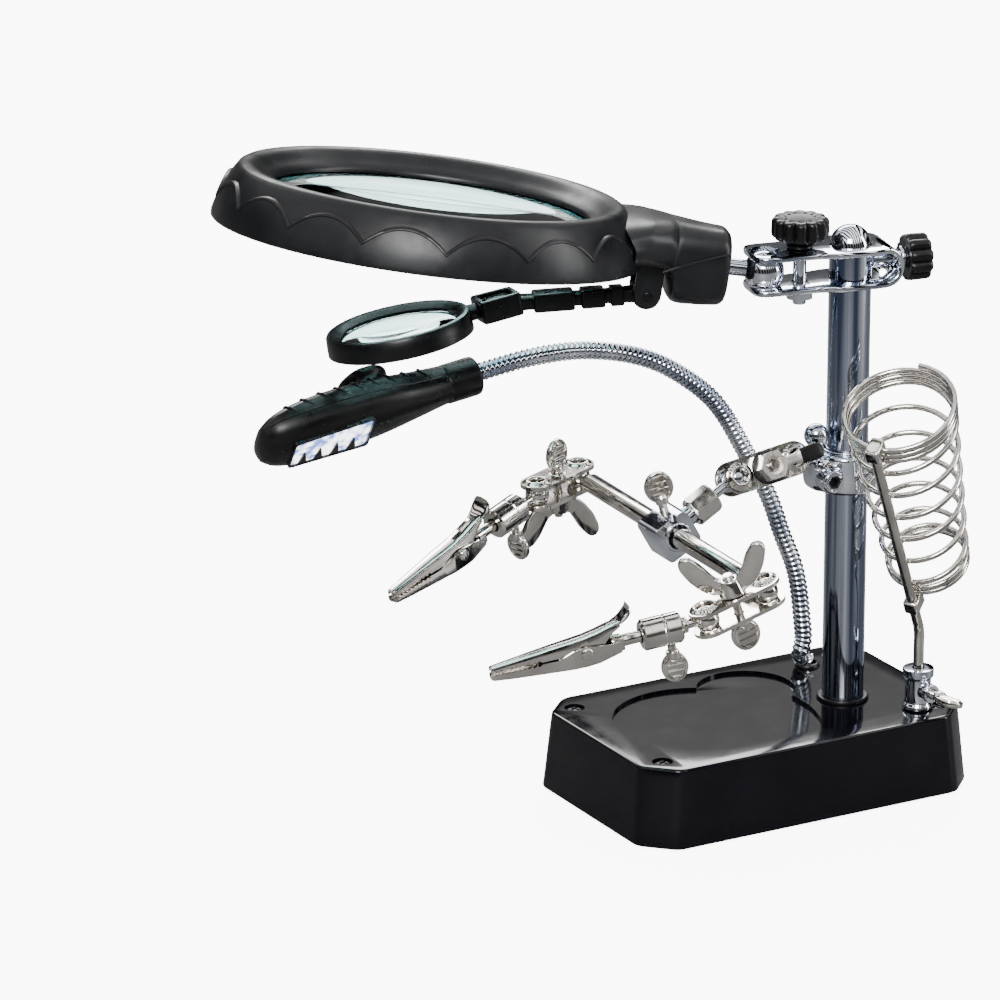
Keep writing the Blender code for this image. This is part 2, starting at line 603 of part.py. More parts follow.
def arm(name, bar_ball, arm_ball, along, facing_up, screw_down):
    """One arm: a ball clamp on the crossbar, then a ball stem, a sleeve and an alligator clip."""
    link = arm_ball - bar_ball
    middle = (bar_ball + arm_ball) / 2
    normal = Vector((0, 0, 1)) - link * (link.z / link.length_squared)
    normal.normalize()
    outside = CLAMP_HALF_GAP + SHEET + GAP
    clamp_plate(f"{name}_plate_upper", middle, link, normal, 1)
    clamp_plate(f"{name}_plate_lower", middle, link, normal, -1)
    nut_side = normal if facing_up else -normal
    foot = middle + nut_side * outside
    spread = link.normalized() + along.cross(normal) * 0.5
    part(f"{name}_wing_nut", wing_nut(foot, nut_side, spread), "nickel", middle)
    start = middle + nut_side * (outside + 6)
    screw = paddle(start, -nut_side, 2 * outside + 8, 4.4, link.cross(normal))
    part(f"{name}_clamp_screw", screw, "nickel", middle)
    stem = joined(ball(arm_ball, BALL_RADIUS), rod(arm_ball, arm_ball + along * 7.5, 1.4),
                  rod(arm_ball + along * 7, arm_ball + along * 13.5, 2.0))
    part(f"{name}_stem", stem, "nickel", arm_ball)
    sleeve_frame = place(arm_ball, along, (0, 0, 1))
    bore = 2.2
    bevel = 0.5
    profile = ((bore, SLEEVE_START), (SLEEVE_RADIUS - bevel, SLEEVE_START), (SLEEVE_RADIUS, SLEEVE_START + bevel),
               (SLEEVE_RADIUS, SLEEVE_END - bevel), (SLEEVE_RADIUS - bevel, SLEEVE_END), (bore, SLEEVE_END))
    sleeve = turned(profile, sleeve_frame, 16)
    lock = arm_ball + along * (SLEEVE_START + 3.5)
    down = -sleeve_frame.col[0].to_3d()
    sleeve = cut(sleeve, rod(lock + down, lock + down * 8, 1.6, 10))
    part(f"{name}_sleeve", sleeve, "nickel", arm_ball)
    facing = along if screw_down else along.cross(down)
    part(f"{name}_sleeve_screw", paddle(lock + down * 2.6, down, 6.0, 4.0, facing), "nickel", lock)
    clip(name, arm_ball + along * CLIP_PIVOT, along)


def clip(name, pivot, along):
    """An alligator clip: the lower jaw is fixed in the sleeve, and the upper jaw turns on its pin."""
    frame = place(pivot, (0, 0, 1), along)
    frame = place(pivot, frame.col[1].to_3d().cross(-along), along)
    side = frame.col[1].to_3d()

    def channel(stations):
        sections = []
        for x, half, low, high in stations:
            sections.append([(x, -half, low), (x, half, low), (x, half, high), (x, -half, high)])
        return lofted(sections, frame)

    outer = channel(((-10.5, 3.4, -2.6, 0.8), (-3, 3.8, -4.0, 1.8), (5, 3.8, -4.0, 1.8), (8, 3.3, -3.8, -0.1),
                     (CLIP_NOSE, 1.9, -2.2, -0.1)))
    inner = channel(((-12, 2.7, -1.1, 3), (-3, 3.1, -3.3, 3), (5, 3.1, -3.3, 3), (8, 2.8, -3.1, 3),
                     (CLIP_NOSE - 1.2, 1.1, -1.5, 3)))
    tail = rod(pivot - along * 17, pivot - along * 8.6, 1.8)
    lower = joined(cut(outer, inner), tail, rod(pivot - side * 3.4, pivot + side * 3.4, 0.9, 10))
    part(f"{name}_jaw_lower", lower, "nickel", pivot)
    outer = channel(((-11, 2.4, 5.4, 6.6), (-4, 2.6, -0.6, 4.6), (5, 2.6, -1.6, 3.8), (8.5, 2.6, 0.3, 3.6),
                     (CLIP_NOSE, 1.7, 0.3, 1.9)))
    inner = channel(((-12, 1.7, 0.0, 5.8), (-4, 1.9, -3, 3.8), (5, 1.9, -3.0, 3.0), (8.5, 1.9, -1.0, 2.8),
                     (CLIP_NOSE - 1.0, 1.0, -1, 1.2)))
    upper = joined(cut(outer, inner), channel(((-10.6, 2.4, 5.8, 6.6), (-13.2, 2.2, 7.2, 8.0), (-14.2, 1.8, 9.4, 9.8))))
    upper = cut(upper, rod(pivot - side * 6, pivot + side * 6, 1.2, 10))
    part(f"{name}_jaw_upper", upper, "nickel", pivot)


def bracket():
    """The bracket on the post, with a ball stud for the elbow clamp."""
    low = POST + Vector((0, 0, BRACKET_HEIGHT - 6.5))
    bore = POST_RADIUS + GAP
    liner = turned(((LINER_RADIUS, 0), (LINER_RADIUS, 13), (bore, 13), (bore, 0)), place(low), 20)
    part("bracket_liner", liner, "chrome", POST)
    centre = POST + Vector((0, 0, BRACKET_HEIGHT))
    upright = place(centre)
    screw_place = centre + Vector((-10.8, 0, 0))
    bolt_frame = place(centre + Vector((-9.6, 0, -0.9)), (0, -1, 0))
    boss = [(5, -5.5), (11.5, -4.6), (13, -3), (13, 3), (11.5, 4.6), (5, 5.5)]
    body = joined(slab(disc(10.4, 20), -6, 6, upright), slab([(-x, y) for x, y in boss], -5, 5.5, upright),
                  rod(centre + Vector((-11, 0, 3.8)), ELBOW_BALL, 1.5), ball(ELBOW_BALL, BALL_RADIUS))
    body = cut(body, slab(disc(LINER_RADIUS + GAP, 20), -9, 9, upright),
               slab(disc(1.6, 10), 2, 9, place(screw_place)))
    body = joined(body, slab(disc(2, 8), 2.6, 6, bolt_frame), slab(disc(2.9, 6), 4.8, 6.8, bolt_frame))
    part("bracket", body, "chrome", centre)
    screw = joined(slab(disc(BOLT_RADIUS, 8), 3, 9, place(screw_place)),
                   ball(screw_place + Vector((0, 0, 11.5)), 3.7, 12))
    part("bracket_screw", screw, "chrome", screw_place)


def elbow():
    """The clamp between the bracket and the crossbar block, locked by a lever."""
    middle = ELBOW_BALL + ELBOW_ALONG * (BALL_SPACING / 2)
    clamp_plate("elbow_plate_front", middle, ELBOW_ALONG, ELBOW_NORMAL, 1)
    clamp_plate("elbow_plate_back", middle, ELBOW_ALONG, ELBOW_NORMAL, -1)
    outside = CLAMP_HALF_GAP + SHEET + GAP
    back = place(middle, ELBOW_NORMAL, ELBOW_ALONG)
    bolt = joined(slab(disc(3.2, 6), -outside - 2.4, -outside, back),
                  slab(disc(BOLT_RADIUS, 10), -outside - 1, outside + 5, back))
    part("elbow_bolt", bolt, "nickel", middle)
    lever = [(-16, -1.9), (-14.5, -2.6), (0, -1.6), (0, 1.6), (-14.5, 2.2), (-16, 1.5)]
    handle = joined(slab(disc(4.4, 6), outside, outside + 4.2, back),
                    slab(lever, outside + 1, outside + 3, back))
    handle = cut(handle, slab(disc(1.6, 10), outside - 2, outside + 9, back))
    part("elbow_lever", handle, "nickel", middle)


def crossbar_block():
    joint = ELBOW_BALL + ELBOW_ALONG * BALL_SPACING
    along = (BLOCK - joint).normalized()
    bar = (CROSSBAR_BACK - CROSSBAR_FRONT).normalized()
    frame = place(BLOCK, bar, along)
    box = [(-6, -5), (-5, -6), (5, -6), (6, -5), (6, 5), (5, 6), (-5, 6), (-6, 5)]
    body = joined(slab(box, -5.5, 5.5, frame), rod(joint, BLOCK - along * 12, 1.5),
                  slab(disc(4.6, 8), 8.5, 17, place(joint, along)),
                  rod(BLOCK - along * 11, BLOCK - along * 5, 3.0),
                  ball(joint, BALL_RADIUS))
    body = cut(body, rod(BLOCK - bar * 9, BLOCK + bar * 9, CROSSBAR_RADIUS + GAP, 16),
               rod(BLOCK + BLOCK_TOP * 2, BLOCK + BLOCK_TOP * 9, 1.6, 10))
    part("crossbar_block", body, "chrome", joint)
    screw = paddle(BLOCK + BLOCK_TOP * 3.8, BLOCK_TOP, 7.6, 4.4, (-0.35, -0.85, 0.3))
    part("block_screw", screw, "nickel", BLOCK)
    thick_start = CROSSBAR_FRONT + bar * CROSSBAR_NECK
    thick_end = CROSSBAR_BACK - bar * CROSSBAR_NECK
    shaft = joined(rod(thick_start, thick_end, CROSSBAR_RADIUS, 14),
                   rod(CROSSBAR_FRONT, CROSSBAR_BACK, 1.5, 10), ball(CROSSBAR_FRONT, BALL_RADIUS),
                   ball(CROSSBAR_BACK, BALL_RADIUS))
    part("crossbar", shaft, "nickel", BLOCK)


def coil_rise(t):
    """Share of the coil's height after a share t of its turns, which lie close at both ends."""
    if t < COIL_LOW_TURNS:
        return COIL_LOW_RISE * t / COIL_LOW_TURNS
    if t > 1 - COIL_HIGH_TURNS:
        return 1 - COIL_HIGH_RISE * (1 - t) / COIL_HIGH_TURNS
    open_turns = 1 - COIL_LOW_TURNS - COIL_HIGH_TURNS
    return COIL_LOW_RISE + (1 - COIL_LOW_RISE - COIL_HIGH_RISE) * (t - COIL_LOW_TURNS) / open_turns


def iron_holder():
    """The socket on the base and the leaning coil that a soldering iron rests in."""
    foot = SOCKET + Vector((0, 0, GAP))
    bore = ROD_RADIUS + GAP
    profile = ((4.6, 0), (4.6, 1), (3.9, 2), (3.9, 9.5), (4.6, 10.2), (4.6, 12.6), (bore, 12.6), (bore, 0))
    socket = turned(profile, place(foot), 16)
    out = Vector((0.1, -0.995, 0))
    lock = foot + Vector((0, 0, 6))
    socket = joined(socket, rod(lock + out * 3, lock + out * 7, 2.8))
    part("holder_socket", cut(socket, rod(lock + out * 1.8, lock + out * 9, 1.6, 10)), "chrome", foot)
    part("holder_screw", paddle(lock + out * 2.2, out, 9, 4.2, (0.3, 0, 1)), "nickel", lock)
    bend = Vector((SOCKET.x, SOCKET.y, ROD_BEND))
    tip = bend + ROD_LEAN * ROD_LENGTH
    rod_route = (foot + Vector((0, 0, 0.6)), foot + Vector((0, 0, 14)), bend - Vector((0, 0, 3)),
                 bend + ROD_LEAN * 3, bend + ROD_LEAN * 40, tip)
    part("holder_rod", swept(rod_route, ROD_RADIUS, 10), "nickel", foot)
    side = COIL_SIDE - ROD_LEAN * COIL_SIDE.dot(ROD_LEAN)
    side.normalize()
    across = ROD_LEAN.cross(side)
    points = []
    count = int(COIL_TURNS * 10)
    for i in range(count + 1):
        t = i / count
        rise = coil_rise(t)
        radius = COIL_BOTTOM_RADIUS + (COIL_TOP_RADIUS - COIL_BOTTOM_RADIUS) * rise
        angle = math.pi + 2 * math.pi * COIL_TURNS * t
        centre = bend + ROD_LEAN * (COIL_START + COIL_LENGTH * rise)
        centre += side * (radius + ROD_RADIUS + COIL_WIRE + GAP)
        points.append(centre + radius * (side * math.cos(angle) + across * math.sin(angle)))
    part("iron_coil", swept(points, COIL_WIRE, 5), "nickel", foot, 80)


def build():
    clear_scene()
    base()
    post()
    top_clamp()
    magnifier_head()
    small_lens()
    lamp()
    bracket()
    elbow()
    crossbar_block()
    arm("front", CROSSBAR_FRONT, FRONT_BALL, FRONT_ARM, True, False)
    arm("back", CROSSBAR_BACK, BACK_BALL, BACK_ARM, False, True)
    iron_holder()


build()
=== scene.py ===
"""Looks of the helping hands stand. Lengths are in millimetres until a piece is stored."""
import json
import math

import bmesh
import bpy
import numpy as np
from mathutils import Matrix, Vector


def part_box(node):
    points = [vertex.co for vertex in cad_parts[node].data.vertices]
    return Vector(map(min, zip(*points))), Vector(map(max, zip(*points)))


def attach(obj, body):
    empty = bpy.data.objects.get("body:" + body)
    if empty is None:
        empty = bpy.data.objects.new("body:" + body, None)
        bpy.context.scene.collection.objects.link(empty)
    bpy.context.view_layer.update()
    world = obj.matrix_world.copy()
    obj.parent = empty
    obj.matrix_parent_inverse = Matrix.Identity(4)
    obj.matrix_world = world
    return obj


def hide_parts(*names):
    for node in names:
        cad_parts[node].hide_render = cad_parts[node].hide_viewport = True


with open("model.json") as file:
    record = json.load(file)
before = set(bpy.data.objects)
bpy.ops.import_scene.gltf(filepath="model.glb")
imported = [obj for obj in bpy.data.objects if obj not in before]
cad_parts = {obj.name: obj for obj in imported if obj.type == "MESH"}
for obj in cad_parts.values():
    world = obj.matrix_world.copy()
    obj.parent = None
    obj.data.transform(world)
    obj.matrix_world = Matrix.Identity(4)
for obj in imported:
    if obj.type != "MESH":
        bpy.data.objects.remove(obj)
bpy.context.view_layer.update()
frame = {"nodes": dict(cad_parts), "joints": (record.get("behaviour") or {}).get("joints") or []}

MM = 0.001
UP = Vector((0, 0, 1))
JOINTS = {joint["name"]: joint for joint in frame["joints"]}

# Camera, in millimetres and degrees.
CAMERA_TARGET = Vector((-87.6, 0.0, 104.9))
CAMERA_AZIMUTH = -29.38
CAMERA_ELEVATION = 18.74
CAMERA_DISTANCE = 1880.0
CAMERA_LENS = 234.0


def position(joint):
    return Vector(JOINTS[joint]["pos_m"]) / MM


def direction(joint):
    return Vector(JOINTS[joint]["axis"]).normalized()


def node_box(node):
    low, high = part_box(node)
    return low / MM, high / MM


# ---------------------------------------------------------------- mesh tools

def place(origin, z_axis=(0, 0, 1), x_hint=(1, 0, 0)):
    """A frame at origin with its Z along z_axis and its X as near x_hint as it can be."""
    z = Vector(z_axis).normalized()
    x = Vector(x_hint)
    x = (x - z * x.dot(z)).normalized()
    axes = Matrix((x, z.cross(x), z)).transposed().to_4x4()
    axes.translation = Vector(origin)
    return axes


def lofted(sections, axes=Matrix()):
    """Close a body through loops of points, one after another, with both ends capped."""
    bm = bmesh.new()
    loops = [[bm.verts.new(point) for point in section] for section in sections]
    count = len(loops[0])
    bm.faces.new(list(reversed(loops[0])))
    bm.faces.new(loops[-1])
    for lower, upper in zip(loops, loops[1:]):
        for i in range(count):
            j = (i + 1) % count
            bm.faces.new((lower[i], lower[j], upper[j], upper[i]))
    bmesh.ops.recalc_face_normals(bm, faces=bm.faces)
    bm.transform(axes)
    return bm


def slab(outline, low, high, axes=Matrix()):
    return lofted([[(x, y, height) for x, y in outline] for height in (low, high)], axes)


def turned(profile, axes=Matrix(), sides=48):
    """Turn (radius, height) points about the frame's Z. A profile off the axis makes a ring."""
    bm = bmesh.new()
    rings = []
    for radius, height in profile:
        steps = sides if radius > 0 else 1
        angles = [2 * math.pi * i / sides for i in range(steps)]
        rings.append([bm.verts.new((radius * math.cos(a), radius * math.sin(a), height)) for a in angles])
    pairs = list(zip(rings, rings[1:]))
    if len(rings[0]) > 1:
        pairs.append((rings[-1], rings[0]))
    for lower, upper in pairs:
        for i in range(sides):
            j = (i + 1) % sides
            corners = (lower[i % len(lower)], lower[j % len(lower)],
                       upper[j % len(upper)], upper[i % len(upper)])
            bm.faces.new(list(dict.fromkeys(corners)))
    bmesh.ops.recalc_face_normals(bm, faces=bm.faces)
    bm.transform(axes)
    return bm


def eased(profile, radius, steps=3):
    """Round every corner of an open (radius, height) profile with a small arc."""
    points = [Vector(point) for point in profile]
    smooth = [points[0]]
    for before, here, after in zip(points, points[1:], points[2:]):
        reach = min(radius, (before - here).length * 0.45, (after - here).length * 0.45)
        start = here + (before - here).normalized() * reach
        end = here + (after - here).normalized() * reach
        for i in range(steps + 1):
            t = i / steps
            smooth.append(start * (1 - t) ** 2 + here * 2 * t * (1 - t) + end * t ** 2)
    return [tuple(point) for point in smooth + [points[-1]]]


def rod(start, end, radius, sides=32, ease=0.0):
    start = Vector(start)
    along = Vector(end) - start
    hint = (1, 0, 0) if abs(along.normalized().x) < 0.9 else (0, 1, 0)
    profile = [(0, 0), (radius, 0), (radius, along.length), (0, along.length)]
    if ease:
        profile = eased(profile, ease)
    return turned(profile, place(start, along, hint), sides)


def ball(centre, radius, sides=32):
    steps = sides // 2
    profile = [(radius * math.sin(math.pi * i / steps), -radius * math.cos(math.pi * i / steps))
               for i in range(1, steps)]
    return turned([(0, -radius)] + profile + [(0, radius)], place(centre), sides)


def sections_along(points, sides, radius_at):
    """Round sections square to a path, carried along it without twisting."""
    points = [Vector(point) for point in points]
    sections = []
    side = None
    for i, point in enumerate(points):
        along = (points[min(i + 1, len(points) - 1)] - points[max(i - 1, 0)]).normalized()
        side = along.orthogonal() if side is None else side - along * side.dot(along)
        side.normalize()
        other = along.cross(side)
        angles = [2 * math.pi * k / sides for k in range(sides)]
        radius = radius_at(i)
        sections.append([point + radius * (side * math.cos(a) + other * math.sin(a)) for a in angles])
    return sections


def swept(points, radius, sides=16):
    return lofted(sections_along(points, sides, lambda i: radius))


def rounded(points, steps):
    """Read steps points per span from a smooth curve through the given points."""
    points = [Vector(point) for point in points]
    curve = []
    for i in range(len(points) - 1):
        before = points[max(i - 1, 0)]
        here = points[i]
        there = points[i + 1]
        after = points[min(i + 2, len(points) - 1)]
        for step in range(steps):
            t = step / steps
            curve.append(0.5 * (2 * here + (there - before) * t
                                + (2 * before - 5 * here + 4 * there - after) * t * t
                                + (3 * here - before - 3 * there + after) * t ** 3))
    curve.append(points[-1])
    return curve


def disc(radius, sides, start=0.0):
    angles = [start + 2 * math.pi * i / sides for i in range(sides)]
    return [(radius * math.cos(a), radius * math.sin(a)) for a in angles]


def stadium(half_length, half_width, steps=16):
    outline = []
    for end in (1, -1):
        for i in range(steps + 1):
            a = math.pi * (i / steps - 0.5)
            outline.append((end * (half_length - half_width + half_width * math.cos(a)),
                            end * half_width * math.sin(a)))
    return outline


def combine(first, second, operation):
    holders = []
    for body in (first, second):
        mesh = bpy.data.meshes.new("working")
        body.to_mesh(mesh)
        body.free()
        holder = bpy.data.objects.new("working", mesh)
        bpy.context.collection.objects.link(holder)
        holders.append(holder)
    modifier = holders[0].modifiers.new("working", "BOOLEAN")
    modifier.operation = operation
    modifier.object = holders[1]
    evaluated = holders[0].evaluated_get(bpy.context.evaluated_depsgraph_get())
    result = bmesh.new()
    result.from_mesh(evaluated.to_mesh())
    for holder in holders:
        bpy.data.objects.remove(holder, do_unlink=True)
    return result


def joined(first, *others):
    for other in others:
        first = combine(first, other, "UNION")
    return first


def cut(first, *cutters):
    for cutter in cutters:
        first = combine(first, cutter, "DIFFERENCE")
    return first


# ---------------------------------------------------------------- materials

def shader(name, colour, **sockets):
    """A Principled material with constants on its own sockets. Returns it, its node tree and its shader."""
    material = bpy.data.materials.new(name)
    material.use_nodes = True
    tree = material.node_tree
    principled = tree.nodes["Principled BSDF"]
    principled.inputs["Base Color"].default_value = (*colour, 1.0)
    for socket, value in sockets.items():
        principled.inputs[socket.replace("_", " ")].default_value = value
    return material, tree, principled


def noise(tree, scale, detail=4.0, roughness=0.55, stretch=None):
    """Noise read from the object's own coordinates, stretched along its axes if asked."""
    coordinates = tree.nodes.new("ShaderNodeTexCoord")
    texture = tree.nodes.new("ShaderNodeTexNoise")
    texture.inputs["Scale"].default_value = scale
    texture.inputs["Detail"].default_value = detail
    texture.inputs["Roughness"].default_value = roughness
    source = coordinates.outputs["Object"]
    if stretch:
        mapping = tree.nodes.new("ShaderNodeMapping")
        mapping.inputs["Scale"].default_value = stretch
        tree.links.new(source, mapping.inputs["Vector"])
        source = mapping.outputs["Vector"]
    tree.links.new(source, texture.inputs["Vector"])
    return texture.outputs["Fac"]


def ramp(tree, source, low, high, start=0.3, end=0.7):
    """Turn a texture into a colour or grey between low and high."""
    node = tree.nodes.new("ShaderNodeValToRGB")
    node.color_ramp.elements[0].position = start
    node.color_ramp.elements[1].position = end
    node.color_ramp.elements[0].color = low if len(low) == 4 else (*low, 1)
    node.color_ramp.elements[1].color = high if len(high) == 4 else (*high, 1)
    tree.links.new(source, node.inputs["Fac"])
    return node.outputs["Color"]


def grey(value):
    return (value, value, value)


def bump(tree, principled, source, strength, distance):
    node = tree.nodes.new("ShaderNodeBump")
    node.inputs["Strength"].default_value = strength
    node.inputs["Distance"].default_value = distance
    tree.links.new(source, node.inputs["Height"])
    tree.links.new(node.outputs["Normal"], principled.inputs["Normal"])


def metal(name, low, high, rough_low, rough_high, scratch=0.15, patches=150, stretch=None):
    """Plated metal: light and dark patches painted in its colour as reflections, with fine polishing marks.
    """
    material, tree, principled = shader(name, high, Metallic=1.0)
    source = noise(tree, patches, 3, 0.5, stretch)
    # Painted reflections: the colour runs in patches from the dark tone to the light one.
    tree.links.new(ramp(tree, source, low, high, 0.36, 0.62), principled.inputs["Base Color"])
    tree.links.new(ramp(tree, noise(tree, 240, 8), grey(rough_low), grey(rough_high)),
                   principled.inputs["Roughness"])
    bump(tree, principled, noise(tree, 700, 3, 0.6, (1, 1, 0.15)), scratch, 0.00004)
    return material


def plastic(name, low, high, rough_low, rough_high, grain_scale, grain, shine=0.5):
    """Moulded plastic: fine grain, faint mottling and slightly uneven gloss."""
    material, tree, principled = shader(name, high, Specular_IOR_Level=shine)
    tree.links.new(ramp(tree, noise(tree, 60, 5), low, high), principled.inputs["Base Color"])
    tree.links.new(ramp(tree, noise(tree, 160, 6), grey(rough_low), grey(rough_high)),
                   principled.inputs["Roughness"])
    bump(tree, principled, noise(tree, grain_scale, 2, 0.5), grain, 0.00006)
    return material


def glass(name, deep, tint):
    """Clear glass with faint deeper bands of its own tint."""
    material, tree, principled = shader(name, tint, Transmission_Weight=1.0, IOR=1.42, Coat_Weight=0.3)
    bands = noise(tree, 1, 3, 0.5, (12, 60, 12))
    tree.links.new(ramp(tree, bands, deep, tint, 0.35, 0.6), principled.inputs["Base Color"])
    tree.links.new(ramp(tree, noise(tree, 40, 3), grey(0.0), grey(0.03)), principled.inputs["Roughness"])
    return material


def lit(name, colour, strength):
    """A glowing cover, whiter where a light stands behind it."""
    material, tree, principled = shader(name, colour, Roughness=0.2, Emission_Strength=strength)
    glow = ramp(tree, noise(tree, 260, 2), (0.05, 0.1, 0.34), (1.0, 1.0, 1.0), 0.42, 0.62)
    tree.links.new(glow, principled.inputs["Emission Color"])
    return material


FINISHES = {
    "base_plastic": plastic("base_plastic", (0.001, 0.001, 0.002), (0.0025, 0.0025, 0.004), 0.06, 0.13, 500,
                            0.015, 0.3),
    "black_plastic": plastic("black_plastic", (0.0015, 0.0015, 0.002), (0.004, 0.004, 0.0045), 0.24, 0.38,
                             2600, 0.2, 0.3),
    "head_plastic": plastic("head_plastic", (0.003, 0.0033, 0.004), (0.007, 0.0075, 0.009), 0.27, 0.4, 2200,
                            0.16, 0.32),
    # Chrome: its darker bluish patches are painted reflections.
    "chrome": metal("chrome", (0.36, 0.4, 0.5), (0.86, 0.89, 0.95), 0.03, 0.08, 0.1, 60),
    # The post's chrome: long upright streaks, dark blue to bright, are painted reflections in its colour.
    "post_chrome_painted_streaks": metal("post_chrome_painted_streaks", (0.1, 0.13, 0.22), (0.86, 0.91, 1.0), 0.05, 0.12, 0.05, 1,
                         (260, 260, 3)),
    # Nickel: its darker brown-grey patches are painted reflections.
    "nickel": metal("nickel", (0.56, 0.53, 0.49), (0.82, 0.79, 0.74), 0.07, 0.16, 0.2, 60),
    # A lighter, rougher copy of the nickel: a painted highlight that makes the nut stand out bright against
    # the plates.
    "nut_nickel_painted_highlight": metal("nut_nickel_painted_highlight", (0.82, 0.8, 0.76), (0.95, 0.93, 0.9), 0.2, 0.34, 0.2, 60),
    "lens": glass("lens", (0.4, 0.68, 0.68), (0.66, 0.84, 0.84)),
    "lens_edge": glass("lens_edge", (0.03, 0.35, 0.35), (0.08, 0.55, 0.55)),
    "iron": metal("iron", (0.02, 0.02, 0.022), (0.06, 0.06, 0.065), 0.35, 0.6, 0.6),
    "rubber": plastic("rubber", (0.012, 0.012, 0.012), (0.025, 0.025, 0.025), 0.75, 0.95, 1500, 0.5),
    "led": lit("led", (0.1, 0.12, 0.2), 4.5),
    "board": plastic("board", (0.7, 0.7, 0.68), (0.86, 0.86, 0.84), 0.3, 0.5, 900, 0.2),
}


def piece(name, bm, finish, body, nodes=(), bevel=0.0, sharp=40, origin=None):
    """Store a body as an object that rides on a CAD body and stands for the named CAD nodes."""
    if origin is None:
        origin = sum((vert.co for vert in bm.verts), Vector()) / len(bm.verts)
    bmesh.ops.remove_doubles(bm, verts=bm.verts, dist=0.002)
    bmesh.ops.translate(bm, verts=bm.verts, vec=-origin)
    bmesh.ops.scale(bm, verts=bm.verts, vec=(MM, MM, MM))
    mesh = bpy.data.meshes.new(name)
    bm.to_mesh(mesh)
    bm.free()
    mesh.materials.append(FINISHES[finish])
    item = bpy.data.objects.new(name, mesh)
    item.location = origin * MM
    bpy.context.collection.objects.link(item)
    if bevel:
        modifier = item.modifiers.new("edges", "BEVEL")
        modifier.width = bevel * MM
        modifier.segments = 3
        modifier.limit_method = "ANGLE"
        modifier.angle_limit = math.radians(35)
        modifier.miter_outer = "MITER_ARC"
        modifier.harden_normals = False
    mesh.shade_smooth()
    mesh.set_sharp_from_angle(angle=math.radians(sharp))
    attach(item, body)
    if nodes:
        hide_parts(*nodes)
    return item


def filleted(outline, radius, steps=6):
    """Round every corner of a flat outline by the given distance."""
    points = [Vector(point) for point in outline]
    smooth = []
    for i, here in enumerate(points):
        before = points[i - 1]
        after = points[(i + 1) % len(points)]
        reach = min(radius, (before - here).length * 0.49, (after - here).length * 0.49)
        start = here + (before - here).normalized() * reach
        end = here + (after - here).normalized() * reach
        for k in range(steps + 1):
            t = k / steps
            smooth.append(tuple(start * (1 - t) ** 2 + here * 2 * t * (1 - t) + end * t ** 2))
    return smooth


def softened_slab(outline, low, high, edge, axes=Matrix(), steps=3):
    """A slab whose top and bottom edges are rounded by drawing its outline in."""
    middle = sum((Vector(point) for point in outline), Vector((0, 0))) / len(outline)
    radius = max((Vector(point) - middle).length for point in outline)
    sections = []
    for height, upper in ((low, False), (high, True)):
        for k in range(steps + 1):
            a = math.pi / 2 * (k / steps)
            inset = edge * (1 - (math.cos(a) if upper else math.sin(a)))
            rise = edge * (math.sin(a) - 1) if upper else edge * (1 - math.cos(a))
            scale = 1 - inset / radius
            sections.append([(middle.x + (x - middle.x) * scale, middle.y + (y - middle.y) * scale,
                              height + rise)
                             for x, y in outline])
    return lofted(sections, axes)


def squarish(angle, power):
    """How far a circle's edge moves out at an angle as the circle turns into a soft square."""
    return 1 / (abs(math.cos(angle)) ** power + abs(math.sin(angle)) ** power) ** (1 / power)


def rounded_box(steps=6, power=5.0):
    """A unit square with soft corners, as (y, z) points."""
    outline = []
    for i in range(8 * steps):
        a = 2 * math.pi * i / (8 * steps)
        reach = squarish(a, power)
        outline.append((reach * math.cos(a), reach * math.sin(a)))
    return outline


def tapered(start, start_half, end, end_half, radius, steps=6):
    """A four-sided outline along X with round corners and a half width at each end."""
    corners = [(start, -start_half), (end, -end_half), (end, end_half), (start, start_half)]
    return filleted(corners, radius, steps)


def scalloped(radius, depth, lobes, per_lobe=14):
    """A knob's outline: a circle with round-topped lobes."""
    count = lobes * per_lobe
    outline = []
    for i in range(count):
        a = 2 * math.pi * i / count
        reach = radius - depth * (1 - abs(math.cos(lobes * a / 2)) ** 0.7)
        outline.append((reach * math.cos(a), reach * math.sin(a)))
    return outline


def gathered(*bodies):
    """Put several bodies of one finish in one mesh."""
    result = bodies[0]
    for body in bodies[1:]:
        mesh = bpy.data.meshes.new("working")
        body.to_mesh(mesh)
        body.free()
        result.from_mesh(mesh)
        bpy.data.meshes.remove(mesh)
    return result


def between(stations, steps):
    """Fill in a list of (x, values...) stations with a smooth curve through them."""
    count = len(stations[0])
    rows = []
    for i in range(len(stations) - 1):
        four = [stations[max(i - 1, 0)], stations[i], stations[i + 1],
                stations[min(i + 2, len(stations) - 1)]]
        for step in range(steps):
            t = step / steps
            row = []
            for k in range(count):
                before, here, there, after = (station[k] for station in four)
                row.append(0.5 * (2 * here + (there - before) * t
                                  + (2 * before - 5 * here + 4 * there - after) * t * t
                                  + (3 * here - before - 3 * there + after) * t ** 3))
            rows.append(row)
    rows.append(list(stations[-1]))
    return rows


def read_at(x, stations, column):
    """One column of a list of (x, values...) stations, read at x."""
    return float(np.interp(x, [station[0] for station in stations],
                           [station[column] for station in stations]))


# ---------------------------------------------------------------- places of the main parts

POST = position("clamp_turn")
POST_AXES = place((POST.x, POST.y, 0))
POST_RADIUS = (node_box("post")[1].x - node_box("post")[0].x) / 2
CLAMP_OUT = -direction("clamp_side_knob_turn")
HEAD_BALL = position("head_tilt")
HEAD_X = direction("head_roll")
HEAD_Y = direction("head_tilt")
HEAD_Z = HEAD_X.cross(HEAD_Y)


def middle_of(node):
    low, high = node_box(node)
    return (low + high) / 2


LENS_RISE = 2.9
LENS_CENTRE = middle_of("main_lens") + HEAD_Z * LENS_RISE
HEAD = place(LENS_CENTRE, HEAD_Z, HEAD_X)
HEAD_BALL_IN_HEAD = HEAD.inverted() @ HEAD_BALL


def in_head(x, y, z):
    """A point given in the head's own frame."""
    return HEAD @ Vector((x, y, z))


# ---------------------------------------------------------------- base

